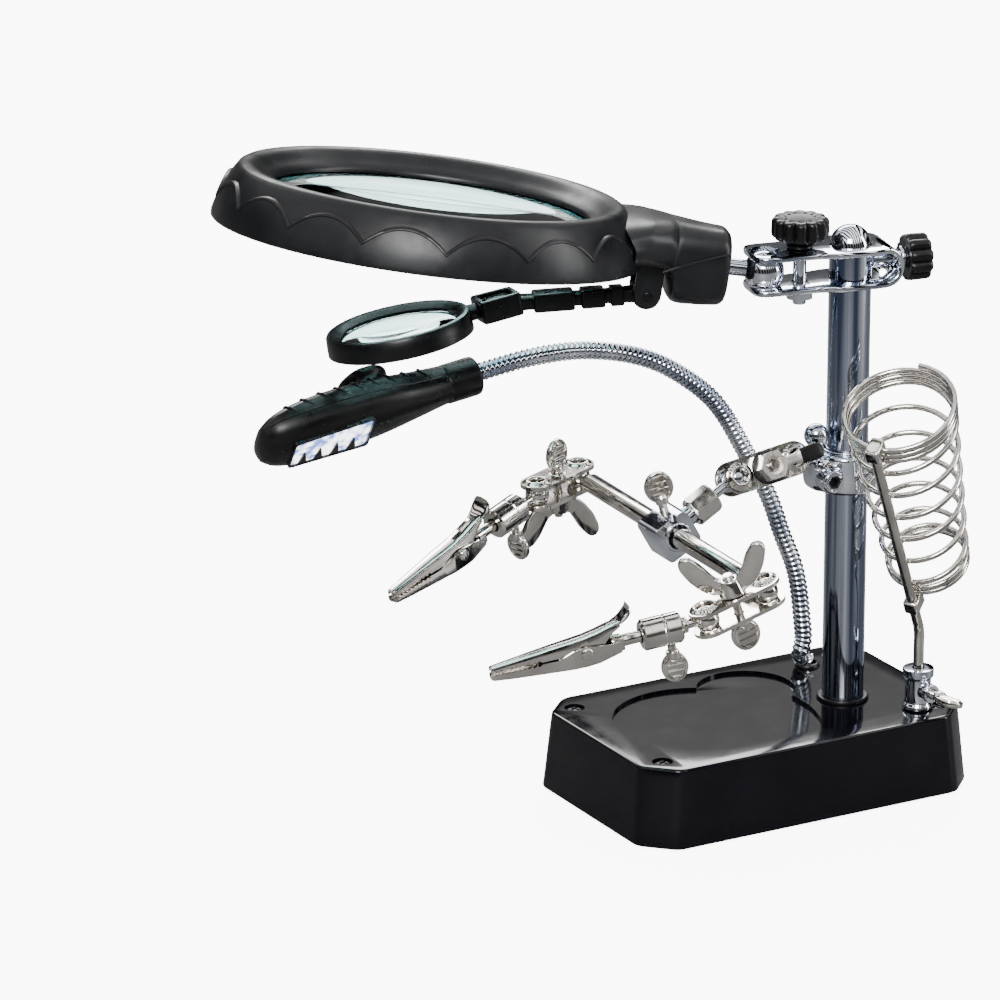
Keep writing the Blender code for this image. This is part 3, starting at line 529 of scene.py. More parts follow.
def cross_screw(name, node, body):
    """A case screw with a cross recess."""
    low, high = node_box(node)
    centre = (low + high) / 2
    axes = place((centre.x, centre.y, high.z))
    head = turned(eased([(0, -1.4), (2.6, -1.4), (2.6, -0.45), (1.6, 0.15), (0, 0.3)], 0.3), axes, 40)
    for angle in (0.4, 0.4 + math.pi / 2):
        arm = [(math.cos(angle) * u - math.sin(angle) * v, math.sin(angle) * u + math.cos(angle) * v)
               for u, v in ((-1.6, -0.32), (1.6, -0.32), (1.6, 0.32), (-1.6, 0.32))]
        head = cut(head, slab(arm, -0.8, 1.0, axes))
    shank = rod((centre.x, centre.y, low.z), (centre.x, centre.y, high.z - 1.2), 1.2, 20)
    piece(name, gathered(head, shank), "iron", body, (node,), 0.06)


BASE_TAPER = 1.9
BASE_CHAMFER = 9.0
TRAY_DEPTH = 1.0
CASE_SCREWS = (1, 2, 3, 4)


def base_outline(inset):
    """The base's rectangle with cut corners, drawn in from the base shell's own size."""
    low, high = node_box("base_shell")
    x = high.x - inset
    y = high.y - inset
    c = BASE_CHAMFER
    corners = [(x - c, -y), (x, c - y), (x, y - c), (x - c, y), (c - x, y), (-x, y - c), (-x, c - y),
               (c - x, -y)]
    return filleted(corners, 2.2, 5)


def base_tray(top):
    """What the tray takes out of the base's top: two round dishes and a web between them."""
    floor = top - TRAY_DEPTH
    big = slab(disc(26.0, 96), floor, top + 2, place((-19.5, -0.2, 0)))
    small = slab(disc(15.0, 72), floor, top + 2, place((6.0, 15.0, 0)))
    web = filleted([(-20, -26), (2, -26.6), (11, -22), (15, -8), (15, 12), (-10, 24), (-26, 20)], 4)
    return joined(big, small, slab(web, floor, top + 2.0))


def base_housing():
    """The base's shell with its rounded top edge, its tray and its screw wells."""
    low, high = node_box("base_shell")
    top = high.z
    levels = [(0.5, low.z), (0.1, low.z + 0.25), (0, low.z + 0.7)]
    for share in (0.25, 0.5, 0.75):
        levels.append((BASE_TAPER * share, low.z + (top - low.z) * share))
    for k in range(5):
        a = math.pi / 2 * k / 4
        levels.append((BASE_TAPER + 0.8 * (1 - math.cos(a)), top - 0.8 * (1 - math.sin(a))))
    shell = lofted([[(x, y, height) for x, y in base_outline(inset)] for inset, height in levels])
    shell = cut(shell, base_tray(top))
    for index in CASE_SCREWS:
        centre = middle_of(f"case_screw_{index}")
        shell = cut(shell, rod((centre.x, centre.y, top - 2.2), (centre.x, centre.y, top + 1), 3.1, 40))
    piece("base_housing", shell, "base_plastic", "base", ("base_shell",), 0.18, 30)


def base_pieces():
    """The base with its tray and screws, and what it holds: pad, plate, inlet and weight."""
    base_housing()
    for index in CASE_SCREWS:
        cross_screw(f"corner_screw_{index}", f"case_screw_{index}", "base")
    low, high = node_box("base_pad")
    pad = softened_slab(base_outline(8.0), low.z, high.z, 0.2)
    piece("pad", pad, "rubber", "base", ("base_pad",))
    low, high = node_box("base_plate")
    plate = softened_slab(base_outline(3.0), low.z, high.z, 0.3)
    piece("under_plate", plate, "black_plastic", "base", ("base_plate",))
    low, high = node_box("power_inlet")
    centre = (low + high) / 2
    length = high.x - low.x
    socket = turned(eased([(1.8, 1.0), (3.2, 1.0), (3.2, length), (1.8, length)], 0.3),
                    place((low.x, centre.y, centre.z), (1, 0, 0), UP), 40)
    piece("inlet", socket, "black_plastic", "base", ("power_inlet",))
    low, high = node_box("ballast_weight")
    block = filleted([(low.x, low.y), (high.x, low.y), (high.x, high.y), (low.x, high.y)], 2)
    piece("ballast", softened_slab(block, low.z, high.z, 0.6), "iron", "base", ("ballast_weight",))


def post_pieces():
    """The post with its domed top and a ring at its foot."""
    low, high = node_box("post")
    radius = (high.x - low.x) / 2
    column = turned(eased([(0, low.z), (radius, low.z), (radius, high.z), (0, high.z)], 0.3),
                    POST_AXES, 96)
    # The column's chrome carries painted reflection streaks.
    piece("post_column", column, "post_chrome_painted_streaks", "base", ("post",))
    cap_low, cap_high = node_box("post_cap")
    steps = 14
    dome = [(radius * math.cos(math.pi / 2 * i / steps),
             cap_high.z - radius + radius * math.sin(math.pi / 2 * i / steps))
            for i in range(steps)]
    cap = turned([(0, cap_low.z), (radius - 0.3, cap_low.z),
                  (radius, cap_low.z + 0.4)] + dome + [(0, cap_high.z)],
                 POST_AXES, 96)
    piece("post_dome", cap, "chrome", "base", ("post_cap",))
    collar = turned(eased([(radius + 0.1, low.z - 0.2), (radius + 1.6, low.z - 0.2),
                           (radius + 1.3, low.z + 0.9), (radius + 0.1, low.z + 0.9)], 0.3),
                    POST_AXES, 80)
    piece("post_foot_ring", collar, "black_plastic", "base")


# ---------------------------------------------------------------- clamp at the top of the post

def knob(radius, depth, lobes, low, high, axes):
    """A lobed knob with a softened rim and a shallow dish in its end."""
    grip = scalloped(radius, depth, lobes)
    height = high - low
    levels = ((0.0, 0.90), (0.05, 0.95), (0.14, 0.985), (0.3, 1.0), (0.82, 0.985), (0.92, 0.955),
              (0.98, 0.9), (1.0, 0.84), (1.0, 0.62), (0.965, 0.56), (0.95, 0.3))
    sections = [[(x * scale, y * scale, low + height * share) for x, y in grip] for share, scale in levels]
    return lofted(sections, axes)


CLAMP_SHEET = 1.8
CLAMP_EDGE = 0.7
CLAMP_BEND = -8.2
# The four corners of the sheet's section, and the angle at which each one's arc starts.
CORNERS = (((-1, -1), math.pi), ((1, -1), 1.5 * math.pi), ((1, 1), 0.0), ((-1, 1), 0.5 * math.pi))


def clamp_strip():
    """The clamp's bent sheet: two plates and the bend behind the post, as one strip."""
    low, high = node_box("clamp_plates")
    middle = (low.z + high.z) / 2
    rise = (high.z - low.z - CLAMP_SHEET) / 2
    widths = ((-15, 7.6), (-13, 8.6), (-8, 9.4), (-4, 10), (6, 10), (9, 9.3), (12, 8.6), (18, 8.4),
              (27, 8.4), (29.4, 8.0), (30.6, 7.2), (31.3, 6.0), (31.6, 4.2))
    xs = [31.6, 31.3, 30.6, 29.4, 27, 24, 18, 14, 12, 10, 8, 6, 2, -2, -5, CLAMP_BEND]

    path = [(x, -rise, 0.0, 1.0) for x in xs]
    for k in range(1, 16):
        a = math.pi * k / 16
        path.append((CLAMP_BEND - rise * math.sin(a), -rise * math.cos(a), math.sin(a), math.cos(a)))
    path += [(x, rise, 0.0, -1.0) for x in reversed(xs)]
    sections = []
    for x, z, nx, nz in path:
        half = read_at(x, widths, 1)
        section = []
        for (sy, sz), turn in CORNERS:
            for k in range(4):
                a = math.pi / 2 * k / 3
                corner = (sy * (half - CLAMP_EDGE), sz * (CLAMP_SHEET / 2 - CLAMP_EDGE))
                y = corner[0] + CLAMP_EDGE * math.cos(a + turn)
                depth = corner[1] + CLAMP_EDGE * math.sin(a + turn)
                section.append((x + nx * depth, y, middle + z + nz * depth))
        sections.append(section)
    return sections, middle


def clamp_sheet():
    """The clamp's sheet, bored for the post, the knob's bolt, the head's ball and the side knob."""
    sections, middle = clamp_strip()
    axes = place((POST.x, POST.y, 0), UP, CLAMP_OUT)
    body = lofted(sections, axes)
    reach = HEAD_BALL - Vector((0, 0, HEAD_BALL.z))
    knob_foot = position("clamp_knob_turn")
    for centre, radius in ((POST, POST_RADIUS + 0.3), (knob_foot, 2.3), (reach, 4.6)):
        body = cut(body, rod((centre.x, centre.y, middle - 12), (centre.x, centre.y, middle + 12), radius,
                             64))
    side = Vector((POST.x, POST.y, middle)) - CLAMP_OUT * 9
    body = cut(body, rod(side, side - CLAMP_OUT * 10, 2.3, 40))
    piece("clamp_sheet", body, "chrome", "top_clamp", ("clamp_plates",), 0.25, 30)


def top_knob():
    """The knob over the clamp, its bolt and the nut under the clamp."""
    knob_foot = position("clamp_knob_turn")
    grip_low, grip_high = node_box("clamp_knob")
    knob_axes = place(knob_foot)
    head = knob(8.6, 1.5, 12, grip_high.z - 6.2, grip_high.z, knob_axes)
    top = grip_high.z
    neck_line = [(0, top - 9.0), (4.0, top - 9.0), (4.0, top - 8.3), (3.1, top - 7.8), (3.1, top - 6.7),
                 (5.0, top - 5.9), (0, top - 5.9)]
    neck = turned(eased(neck_line, 0.4), knob_axes, 48)
    piece("top_knob", gathered(head, neck), "black_plastic", "clamp_knob", ("clamp_knob",), 0.0, 30)
    bolt = rod(knob_foot + UP * grip_low.z, knob_foot + UP * (top - 8.6), 2.0, 40, 0.3)
    piece("top_bolt", bolt, "chrome", "clamp_knob")
    nut_low, nut_high = node_box("clamp_nut")
    nut = cut(hex_body(4.4, nut_low.z, nut_high.z, knob_axes),
              rod(knob_foot + UP * (nut_low.z - 4), knob_foot + UP * (nut_high.z + 4), 2.2, 32))
    piece("hex_nut", nut, "chrome", "top_clamp", ("clamp_nut",), 0.15, 30)


def side_knob():
    """The knob behind the post and the boss that it turns in."""
    side_foot = position("clamp_side_knob_turn")
    side_axes = place(side_foot, -CLAMP_OUT, UP)
    piece("side_knob", knob(7.2, 1.3, 10, 17.0, 24.0, side_axes), "black_plastic", "clamp_side_knob",
          ("clamp_side_knob",), 0.0, 30)
    boss = turned(eased([(0, 6.9), (2.0, 6.9), (2.0, 15.3), (3.6, 15.3), (3.6, 16.3), (3.0, 16.8),
                         (3.0, 17.6), (0, 17.6)], 0.25),
                  side_axes, 48)
    piece("side_boss", boss, "chrome", "clamp_side_knob")


def hex_body(radius, low, high, axes):
    """A six-sided nut with its corners turned away at both ends."""
    body = slab(disc(radius, 6), low, high, axes)
    trim = turned([(0, low - 1), (radius * 0.9, low - 1), (radius * 0.9, low),
                   (radius * 1.02, low + radius * 0.09), (radius * 1.02, high - radius * 0.09),
                   (radius * 0.9, high), (0, high)], axes, 60)
    return combine(body, trim, "INTERSECT")


# ---------------------------------------------------------------- magnifier head

# The head's side wall as (radius, height), and the ledge under its arches as (rise, how far it stands out).
SIDE_WALL = ((62.8, -12.1), (62.7, -10.5), (62.2, -8.0), (61.3, -5.0), (60.0, -1.8), (58.6, 0.9),
             (57.4, 2.8))
ARCH_PITCH = math.radians(22.5)
LEDGE = ((-3.0, 0.42), (-1.1, 0.42), (-0.75, 0.85), (-0.3, 0.9), (-0.05, 0.65), (0.12, 0.0), (0.5, 0.0))


def side_radius(z):
    """The side wall's radius at a height."""
    heights = [height for radius, height in SIDE_WALL]
    return float(np.interp(z, heights, [radius for radius, height in SIDE_WALL]))


def arc_height(angle):
    """Height of the row of arches on the side wall, which meet in points below."""
    share = 2 * ((angle / ARCH_PITCH) % 1.0) - 1
    return 0.4 - 5.6 * abs(share) ** 2.1


def head_wall(angle):
    """The head's section at an angle: its wall stands proud below the arches, with a lip along them."""
    top = arc_height(angle)
    rows = [(62.8, -12.1), (63.1, -11.8), (63.1, -10.6)]
    for offset, proud in LEDGE:
        z = top + offset
        rows.append((side_radius(z) + proud, z))
    for share in (0.35, 0.7, 1.0):
        z = (top + 0.5) * (1 - share) + 2.8 * share
        rows.append((side_radius(z), z))
    rows += [(56.6, 3.9), (55.5, 4.55), (54.2, 4.65), (52.8, 4.2), (51.6, 3.4), (50.6, 2.4), (48.8, 1.0),
             (47.0, 0.0), (46.5, -0.8), (46.5, -1.6), (51, -1.6), (51, -5.2), (56, -6), (60.2, -12.1)]
    return rows


def spun(section_at, axes, sides):
    """A ring whose section may change with the angle."""
    bm = bmesh.new()
    columns = []
    for i in range(sides):
        a = 2 * math.pi * i / sides
        columns.append([bm.verts.new((r * math.cos(a), r * math.sin(a), z)) for r, z in section_at(a)])
    count = len(columns[0])
    for i in range(sides):
        here = columns[i]
        there = columns[(i + 1) % sides]
        for j in range(count):
            k = (j + 1) % count
            bm.faces.new((here[j], there[j], there[k], here[k]))
    bmesh.ops.recalc_face_normals(bm, faces=bm.faces)
    bm.transform(axes)
    return bm


GLASS_RADIUS = 46.0


def head_neck():
    """The neck, from the ring's wall to the ball stem."""
    y = HEAD_BALL_IN_HEAD.y
    z = HEAD_BALL_IN_HEAD.z
    stations = between(((58.6, 24.2, -11.7, 2.6), (62, 22.0, -11.8, 3.3), (66, 19.4, -11.9, 3.1),
                        (69.5, 17.0, -12.4, 2.8), (71.2, 16.0, -16.5, 2.6), (72.8, 15.2, z - 11.2, 2.5),
                        (80, 12.8, z - 11.7, z + 11.9), (86.4, 11.0, z - 11.3, z + 11.4)), 5)
    stations += [[87.4, 10.6, z - 10.9, z + 10.9], [88.2, 9.8, z - 10.1, z + 10.1],
                 [88.6, 8.6, z - 8.9, z + 8.9]]
    sections = []
    for x, half_width, low, high in stations:
        loop = []
        for i in range(64):
            a = 2 * math.pi * i / 64
            reach = squarish(a, 3)
            height = (low + high) / 2 + (high - low) / 2 * reach * math.sin(a)
            lean = 0.62 * max(0.0, height + 5) * max(0.0, 1 - (x - 58.6) / 5)
            loop.append((x - lean, y + half_width * reach * math.cos(a), height))
        sections.append(loop)
    return lofted(sections, HEAD)


def hinge_ears(pivot):
    """The two ears under the neck that hold the folding arm's pin."""
    ears = []
    for side in (-1, 1):
        centre = pivot.y + side * 6.0
        outline = filleted([(pivot.x - 4, -10.6), (pivot.x - 4, pivot.z), (pivot.x - 2.4, pivot.z - 3.4),
                            (pivot.x + 2.4, pivot.z - 3.4), (pivot.x + 4, pivot.z), (pivot.x + 4, -10.6)],
                           1.6)
        ear_axes = HEAD @ Matrix(((1, 0, 0, 0), (0, 0, -1, centre), (0, 1, 0, 0), (0, 0, 0, 1)))
        ears.append(slab(outline, -0.8, 0.8, ear_axes))
    return ears


def head_housing(pivot):
    """The ring, neck and ears in one moulding, with a crease along the neck and the hinge's pin."""
    y = HEAD_BALL_IN_HEAD.y
    z = HEAD_BALL_IN_HEAD.z
    shell = joined(spun(head_wall, HEAD, 384), head_neck(), *hinge_ears(pivot))
    shell = cut(shell, rod(in_head(74, y, z), in_head(92, y, z), 2.9, 48))
    piece("head_housing", shell, "head_plastic", "head", ("head_shell",), 0.0, 38)
    crease = []
    for k in range(25):
        share = k / 24
        x = 67.5 + 20.0 * share
        half = read_at(x, ((65, 20), (72.8, 15.2), (80, 12.8), (87.5, 10.8)), 1)
        crease.append(in_head(x, y - half, -11 + 6 * share))
    piece("neck_crease", swept(crease, 0.4, 8), "head_plastic", "head")
    pin = rod(in_head(pivot.x, pivot.y - 7.4, pivot.z), in_head(pivot.x, pivot.y + 7.4, pivot.z), 1.4, 32,
              0.3)
    piece("hinge_pin", pin, "black_plastic", "head")


def head_glass():
    """The ring under the head, and the lens with the deeper tint of its edge."""
    ring = [(59.7, -12.1), (58.8, -12.6), (57, -12.9), (49, -12.9), (47, -9.5), (47, -4.4), (50.4, -4.4),
            (50.4, -5.7), (55.7, -6.6)]
    piece("head_ring_below", turned(ring, HEAD, 240), "head_plastic", "head", ("head_under_ring",), 0.0, 32)
    rows = 16
    upper = [(GLASS_RADIUS * k / rows, 1.3 - 3.2 * (k / rows) ** 2) for k in range(rows + 1)]
    lower = [(GLASS_RADIUS * k / rows, -7.0 + 2.9 * (k / rows) ** 2) for k in range(rows, -1, -1)]
    glass_profile = upper + [(50.4, -1.9), (50.4, -3.9)] + lower
    piece("head_glass", turned(glass_profile, HEAD, 160), "lens", "head", ("main_lens",), 0.0, 30)
    edge = [(42.6, -2.3), (46.2, -2.3), (46.2, -3.8), (42.6, -4.0)]
    piece("head_glass_edge", turned(edge, HEAD, 160), "lens_edge", "head", (), 0.0, 30)


def head_pieces():
    """The ball stem, and the head that turns on it."""
    inner_end = in_head(75, HEAD_BALL_IN_HEAD.y, HEAD_BALL_IN_HEAD.z)
    stem = gathered(ball(HEAD_BALL, 6.0, 64), rod(HEAD_BALL, inner_end, 2.5, 48))
    piece("head_ball", stem, "chrome", "head_stem", ("head_stem",))
    head_housing(HEAD.inverted() @ position("lens_arm_fold"))
    head_glass()


# ---------------------------------------------------------------- small lens

def flat_side(node):
    """The way out of the broad side of a flat round node."""
    points = np.array([tuple(vert.co) for vert in frame["nodes"][node].data.vertices])
    normal = Vector(np.linalg.svd(points - points.mean(axis=0), full_matrices=False)[2][2])
    return normal if normal.z > 0 else -normal


SMALL_LENS_REACH = 32.76
SMALL_GLASS_RADIUS = 17.1


def fold_arm(bend, out, normal):
    """The folding arm: its hinge drum, three blocks, and a socket at the bend for the lens's pin."""
    pivot = position("lens_arm_fold")
    hinge = direction("lens_arm_fold")
    along = (bend - pivot).normalized()
    length = (bend - pivot).length
    axes = place(pivot, HEAD_Z - along * HEAD_Z.dot(along), along)
    drum = turned(eased([(0, -4.8), (3.0, -4.8), (4.3, -4.2), (4.3, -1.2), (3.8, -0.9), (3.8, 0.9),
                         (4.3, 1.2), (4.3, 4.2), (3.0, 4.8), (0, 4.8)], 0.3), place(pivot, hinge, along), 56)
    boss = turned(eased([(0, -6.6), (1.3, -6.6), (1.3, 6.6), (0, 6.6)], 0.3), place(pivot, hinge, along), 40)
    stations = between(((1.5, 3.4, 2.6), (8, 3.2, 2.1), (20, 3.2, 2.0), (length - 4, 3.5, 2.2),
                        (length + 1, 4.2, 2.6)), 6)
    stem = lofted([[(x, y * width, z * height) for y, z in rounded_box()]
                   for x, width, height in stations], axes)
    blocks = []
    for x, end, width in ((6.4, 10.4, 3.5), (12, 19, 4.0), (21, 33, 4.6)):
        outline = tapered(x, width, end, width, 0.8, 4)
        blocks.append(softened_slab(outline, -2.8, 2.7, 0.6, axes))
    block_axes = place(bend, normal, out)
    socket = softened_slab(tapered(-4, 5.4, 8.6, 6.1, 1.2, 4), -3.4, 3.4, 0.6, block_axes)
    socket = cut(socket, slab(tapered(-2.4, 3.8, 7.0, 4.3, 0.8, 4), 1.9, 5, block_axes))
    raised = softened_slab(tapered(-1.0, 2.2, 5.6, 2.5, 0.8, 4), 1.5, 2.7, 0.3, block_axes)
    piece("fold_arm", gathered(drum, boss, stem, *blocks, raised), "black_plastic", "lens_arm",
          ("lens_arm",), 0.0, 32)
    piece("fold_arm_socket", socket, "black_plastic", "lens_arm", (), 0.2, 32)


def small_lens_pieces():
    """The second lens in its ring, and the folding arm that carries it under the head."""
    out = direction("small_lens_turn")
    centre = position("small_lens_turn")
    normal = flat_side("small_lens")
    fold_arm(centre - out * SMALL_LENS_REACH, out, normal)
    ring_axes = place(centre, normal, out)
    profile = [(21.6, -3.0), (21.6, -0.5), (21.4, 2.2), (21.0, 2.9), (20.4, 3.2), (19.6, 3.15), (18.8, 2.7),
               (17.6, 1.9), (17.3, 1.6), (17.3, 0.8), (18.6, 0.8), (18.6, -1.4), (17.4, -1.4), (17.4, -2.5),
               (18.2, -3.0), (19.5, -3.3), (20.9, -3.3)]
    pin = rod(centre - out * (SMALL_LENS_REACH - 2.4), centre - out * 20.1, 1.5, 32)
    collar = rod(centre - out * 24.0, centre - out * 20.4, 2.5, 40, 0.4)
    piece("small_ring", gathered(turned(profile, ring_axes, 160), pin, collar), "black_plastic",
          "small_lens", ("small_lens_ring",), 0.0, 32)
    rows = 12
    upper = [(SMALL_GLASS_RADIUS * k / rows, 2.2 - 1.7 * (k / rows) ** 2) for k in range(rows + 1)]
    lower = [(SMALL_GLASS_RADIUS * k / rows, -2.7 + 1.6 * (k / rows) ** 2) for k in range(rows, -1, -1)]
    piece("small_glass", turned(upper + [(18.3, 0.5), (18.3, -1.1)] + lower, ring_axes, 120), "lens",
          "small_lens", ("small_lens",), 0.0, 30)


# ---------------------------------------------------------------- gooseneck lamp

def hose_route():
    """The middle of the CAD gooseneck, read ring by ring from its foot."""
    points = {}
    for vert in frame["nodes"]["gooseneck"].data.vertices:
        point = vert.co / MM
        points[tuple(round(value, 2) for value in point)] = point
    left = list(points.values())
    centre = min(left, key=lambda point: point.z)
    route = []
    while len(left) >= 8:
        left.sort(key=lambda point: (point - centre).length)
        ring = left[:8]
        left = left[8:]
        centre = sum(ring, Vector()) / 8
        route.append(centre)
    return route


def spaced(points, step):
    """Points at even distances along a path."""
    result = [points[0]]
    travelled = 0.0
    for here, there in zip(points, points[1:]):
        length = (there - here).length
        while travelled + step <= length:
            travelled += step
            result.append(here.lerp(there, travelled / length))
        travelled -= length
    return result


BUTTON_PLACE = 33.0
BUTTON_STANDS = 9.55
HOSE_STEP = 0.28
HOSE_RADIUS = 2.62
HOSE_RIDGE = 0.26
HOSE_PITCH = 1.7


def lamp_axes():
    """The lamp's own frame: X along it from its rear, Z out through its button."""
    up = -direction("lamp_button_press")
    button = middle_of("lamp_button") - up * BUTTON_STANDS
    along = middle_of("led_window") - button
    along = (along - up * along.dot(up)).normalized()
    return place(button - along * BUTTON_PLACE, up, along)


LAMP = lamp_axes()
# Distance from the lamp's rear, half width, and how far it reaches down and up.
LAMP_STATIONS = ((0, 5.0, -5.0, 5.0), (6, 5.2, -5.1, 5.2), (11, 5.6, -5.4, 5.6), (20, 7.2, -6.4, 6.0),
                 (32, 9.8, -7.4, 6.6), (48, 11.2, -8.0, 6.8), (58, 11.0, -7.9, 6.2), (64, 10.2, -7.5, 5.2),
                 (68, 9.0, -6.6, 4.0), (71, 6.8, -5.2, 2.4))
LAMP_SMOOTH = between(LAMP_STATIONS, 8)
WINDOW = tapered(37.6, 7.3, 64.4, 6.3, 1.5)
WINDOW_INSIDE = tapered(38.3, 6.7, 63.7, 5.7, 1.2)


def lamp_point(x, angle, lift=0.0):
    """A point on the lamp's skin at a distance from its rear and an angle round it."""
    half, low, high = (read_at(x, LAMP_SMOOTH, column) for column in (1, 2, 3))
    reach = high if math.sin(angle) > 0 else -low
    swell = squarish(angle, 2.5)
    return LAMP @ Vector((x, (half + lift) * swell * math.cos(angle),
                          (reach + lift) * swell * math.sin(angle)))


def gooseneck_radius(i, k, sides):
    """The hose's radius with its ridge, which winds round it like a thread."""
    return HOSE_RADIUS + HOSE_RIDGE * math.sin(2 * math.pi * (i * HOSE_STEP / HOSE_PITCH + k / sides))


def hose_pieces():
    """The gooseneck with its ridges, and the grommet at its foot."""
    route = spaced(rounded(hose_route(), 4), HOSE_STEP)
    sides = 20
    sections = []
    for i, section in enumerate(sections_along(route, sides, lambda i: 1.0)):
        centre = sum(section, Vector()) / sides
        sections.append([centre + (point - centre) * gooseneck_radius(i, k, sides)
                         for k, point in enumerate(section)])
    piece("hose", lofted(sections), "chrome", "base", ("gooseneck",), 0.0, 75, route[0])
    foot = Vector((route[0].x, route[0].y, 0))
    grommet = turned(eased([(2.9, 24.9), (3.9, 24.9), (3.8, 25.5), (3.5, 26.0), (2.9, 26.1)], 0.2),
                     place(foot), 48)
    piece("hose_foot", grommet, "black_plastic", "base")


def lamp_housing():
    """The lamp's shell with its window and the hole for the gooseneck."""
    sections = []
    for station in LAMP_SMOOTH:
        sections.append([lamp_point(station[0], 2 * math.pi * i / 56) for i in range(56)])
    tip = LAMP @ Vector((72.4, 0, -1.4))
    last = sections[-1]
    for share in (0.7, 0.35):
        sections.append([tip.lerp(point, share) for point in last])
    shell = lofted(sections)
    shell = cut(shell, slab(WINDOW, -12, -2.6, LAMP),
                rod(LAMP @ Vector((-1, 0, 0)), LAMP @ Vector((5, 0, 0)), 3.2, 40))
    piece("lamp_housing", shell, "black_plastic", "base", ("lamp_shell",), 0.0, 32)


def lamp_trim():
    """The lamp's rear collar, its ribs, its seam and the flange round its button."""
    extras = [turned(eased([(3.3, -0.6), (5.7, -0.6), (5.9, 0.4), (5.9, 9.6), (5.4, 10.4), (4.8, 10.4)],
                           0.4),
                     place(LAMP @ Vector((0, 0, 0)), LAMP.col[0].to_3d(), LAMP.col[2].to_3d()), 56)]
    for index in range(9):
        x = 16.0 + 5.6 * index
        points = []
        for k in range(13):
            share = k / 12
            angle = math.radians(8 + 64 * share)
            bow = 1.5 * math.sin(math.pi * share)
            points.append(lamp_point(x + bow, angle, 0.02))
        radii = [0.55 * math.sin(math.pi * (0.12 + 0.76 * k / 12)) for k in range(13)]
        extras.append(lofted(sections_along(points, 8, lambda i: radii[i])))
    seam = [lamp_point(x / 2, math.radians(-4)) for x in range(24, 140)]
    extras.append(swept(seam, 0.28, 8))
    flange = turned(eased([(0, 5.0), (7.1, 5.0), (6.8, 6.2), (6.9, 6.9), (7.8, 7.9), (8.0, 8.8), (7.7, 9.6),
                           (6.6, 9.6), (6.5, 7.2), (0, 7.2)], 0.25),
                    LAMP @ Matrix.Translation((BUTTON_PLACE, 0, 0)), 72)
    extras.append(flange)
    piece("lamp_trim", gathered(*extras), "black_plastic", "base", (), 0.0, 32)


def lamp_button():
    """The switch's cap, a flat mushroom."""
    button_axes = LAMP @ Matrix.Translation((BUTTON_PLACE, 0, 0))
    button = turned(eased([(0, 8.2), (6.2, 8.2), (6.2, 10.2), (5.2, 10.9), (0, 10.7)], 0.4), button_axes, 56)
    piece("switch_cap", button, "black_plastic", "lamp_button", ("lamp_button",))


def lamp_lights():
    """The board with its lights, the cover over them, and the rim with dark wedges between the lights."""
    board = slab(WINDOW_INSIDE, -4.0, -2.9, LAMP)
    piece("lamp_board", board, "board", "base", ("led_board",))
    cells = []
    for i, x in enumerate((42.0, 47.2, 52.4, 57.6, 61.8)):
        spot = Matrix.Translation((x, 2.2 * (-1) ** i, -3.9))
        cells.append(turned(eased([(0, -1.7), (2.1, -1.5), (2.3, 0.1), (0, 0.1)], 0.4), LAMP @ spot, 28))
    piece("lamp_cells", gathered(*cells), "led", "base", ())
    cover = softened_slab(WINDOW_INSIDE, -7.2, -6.2, 0.3, LAMP)
    piece("lamp_cover", cover, "led", "base", ("led_window",), 0.0, 30)
    bars = []
    for x in (43.4, 48.9, 54.4, 59.6):
        wedge = [(x - 1.5, -6.1), (x + 1.5, -6.1), (x + 0.2, -0.8), (x - 0.2, -0.8)]
        bars.append(softened_slab(wedge, -7.7, -7.1, 0.12, LAMP))
    rim_body = cut(slab(WINDOW, -7.8, -5.2, LAMP), slab(WINDOW_INSIDE, -9, -4, LAMP))
    piece("lamp_rim", gathered(rim_body, *bars), "black_plastic", "base", (), 0.0, 32)


# ---------------------------------------------------------------- hand screws and ball clamps

BALL_SPACING = 19.3
STUD_BALL = 3.6
STUD_RADIUS = 1.5
HALF_GAP = 2.6
SHEET = 1.2
OUTSIDE = HALF_GAP + SHEET + 0.3


def paddle(foot, along, shaft, width, facing, ribs=3):
    """A flat-headed hand screw: a threaded shank and an oval head with pressed ribs."""
    foot = Vector(foot)
    along = Vector(along).normalized()
    head = foot + along * (shaft + width * 0.8)
    facing = Vector(facing)
    facing = (facing - along * facing.dot(along)).normalized()
    axes = place(head, facing, along)
    outline = [(x * 1.12, y) for x, y in disc(width, 48)]
    oval = softened_slab(outline, -0.85, 0.85, 0.45, axes, 4)
    bodies = [oval]
    for side in (-1, 1):
        rim = [(x * 1.12 * 0.78, y * 0.78, side * 0.85) for x, y in disc(width, 40)]
        bodies.append(ring_cord(rim, 0.32, axes))
    for k in range(ribs):
        offset = (k - (ribs - 1) / 2) * width * 0.46
        half = width * math.sqrt(max(0.1, 0.62 - (offset / width) ** 2))
        for side in (-1, 1):
            ends = [axes @ Vector((offset, -half * 0.8, side * 0.85)),
                    axes @ Vector((offset, half * 0.8, side * 0.85))]
            bodies.append(swept(ends, 0.42, 8))
    neck = turned(eased([(0, -0.5), (2.0, -0.5), (2.0, 1.6), (1.3, 2.6), (0, 2.6)], 0.3),
                  place(foot + along * (shaft - 1.4), along, facing), 32)
    bodies.append(neck)
    bodies.append(threaded(foot, foot + along * shaft, 1.3))
    return gathered(*bodies)


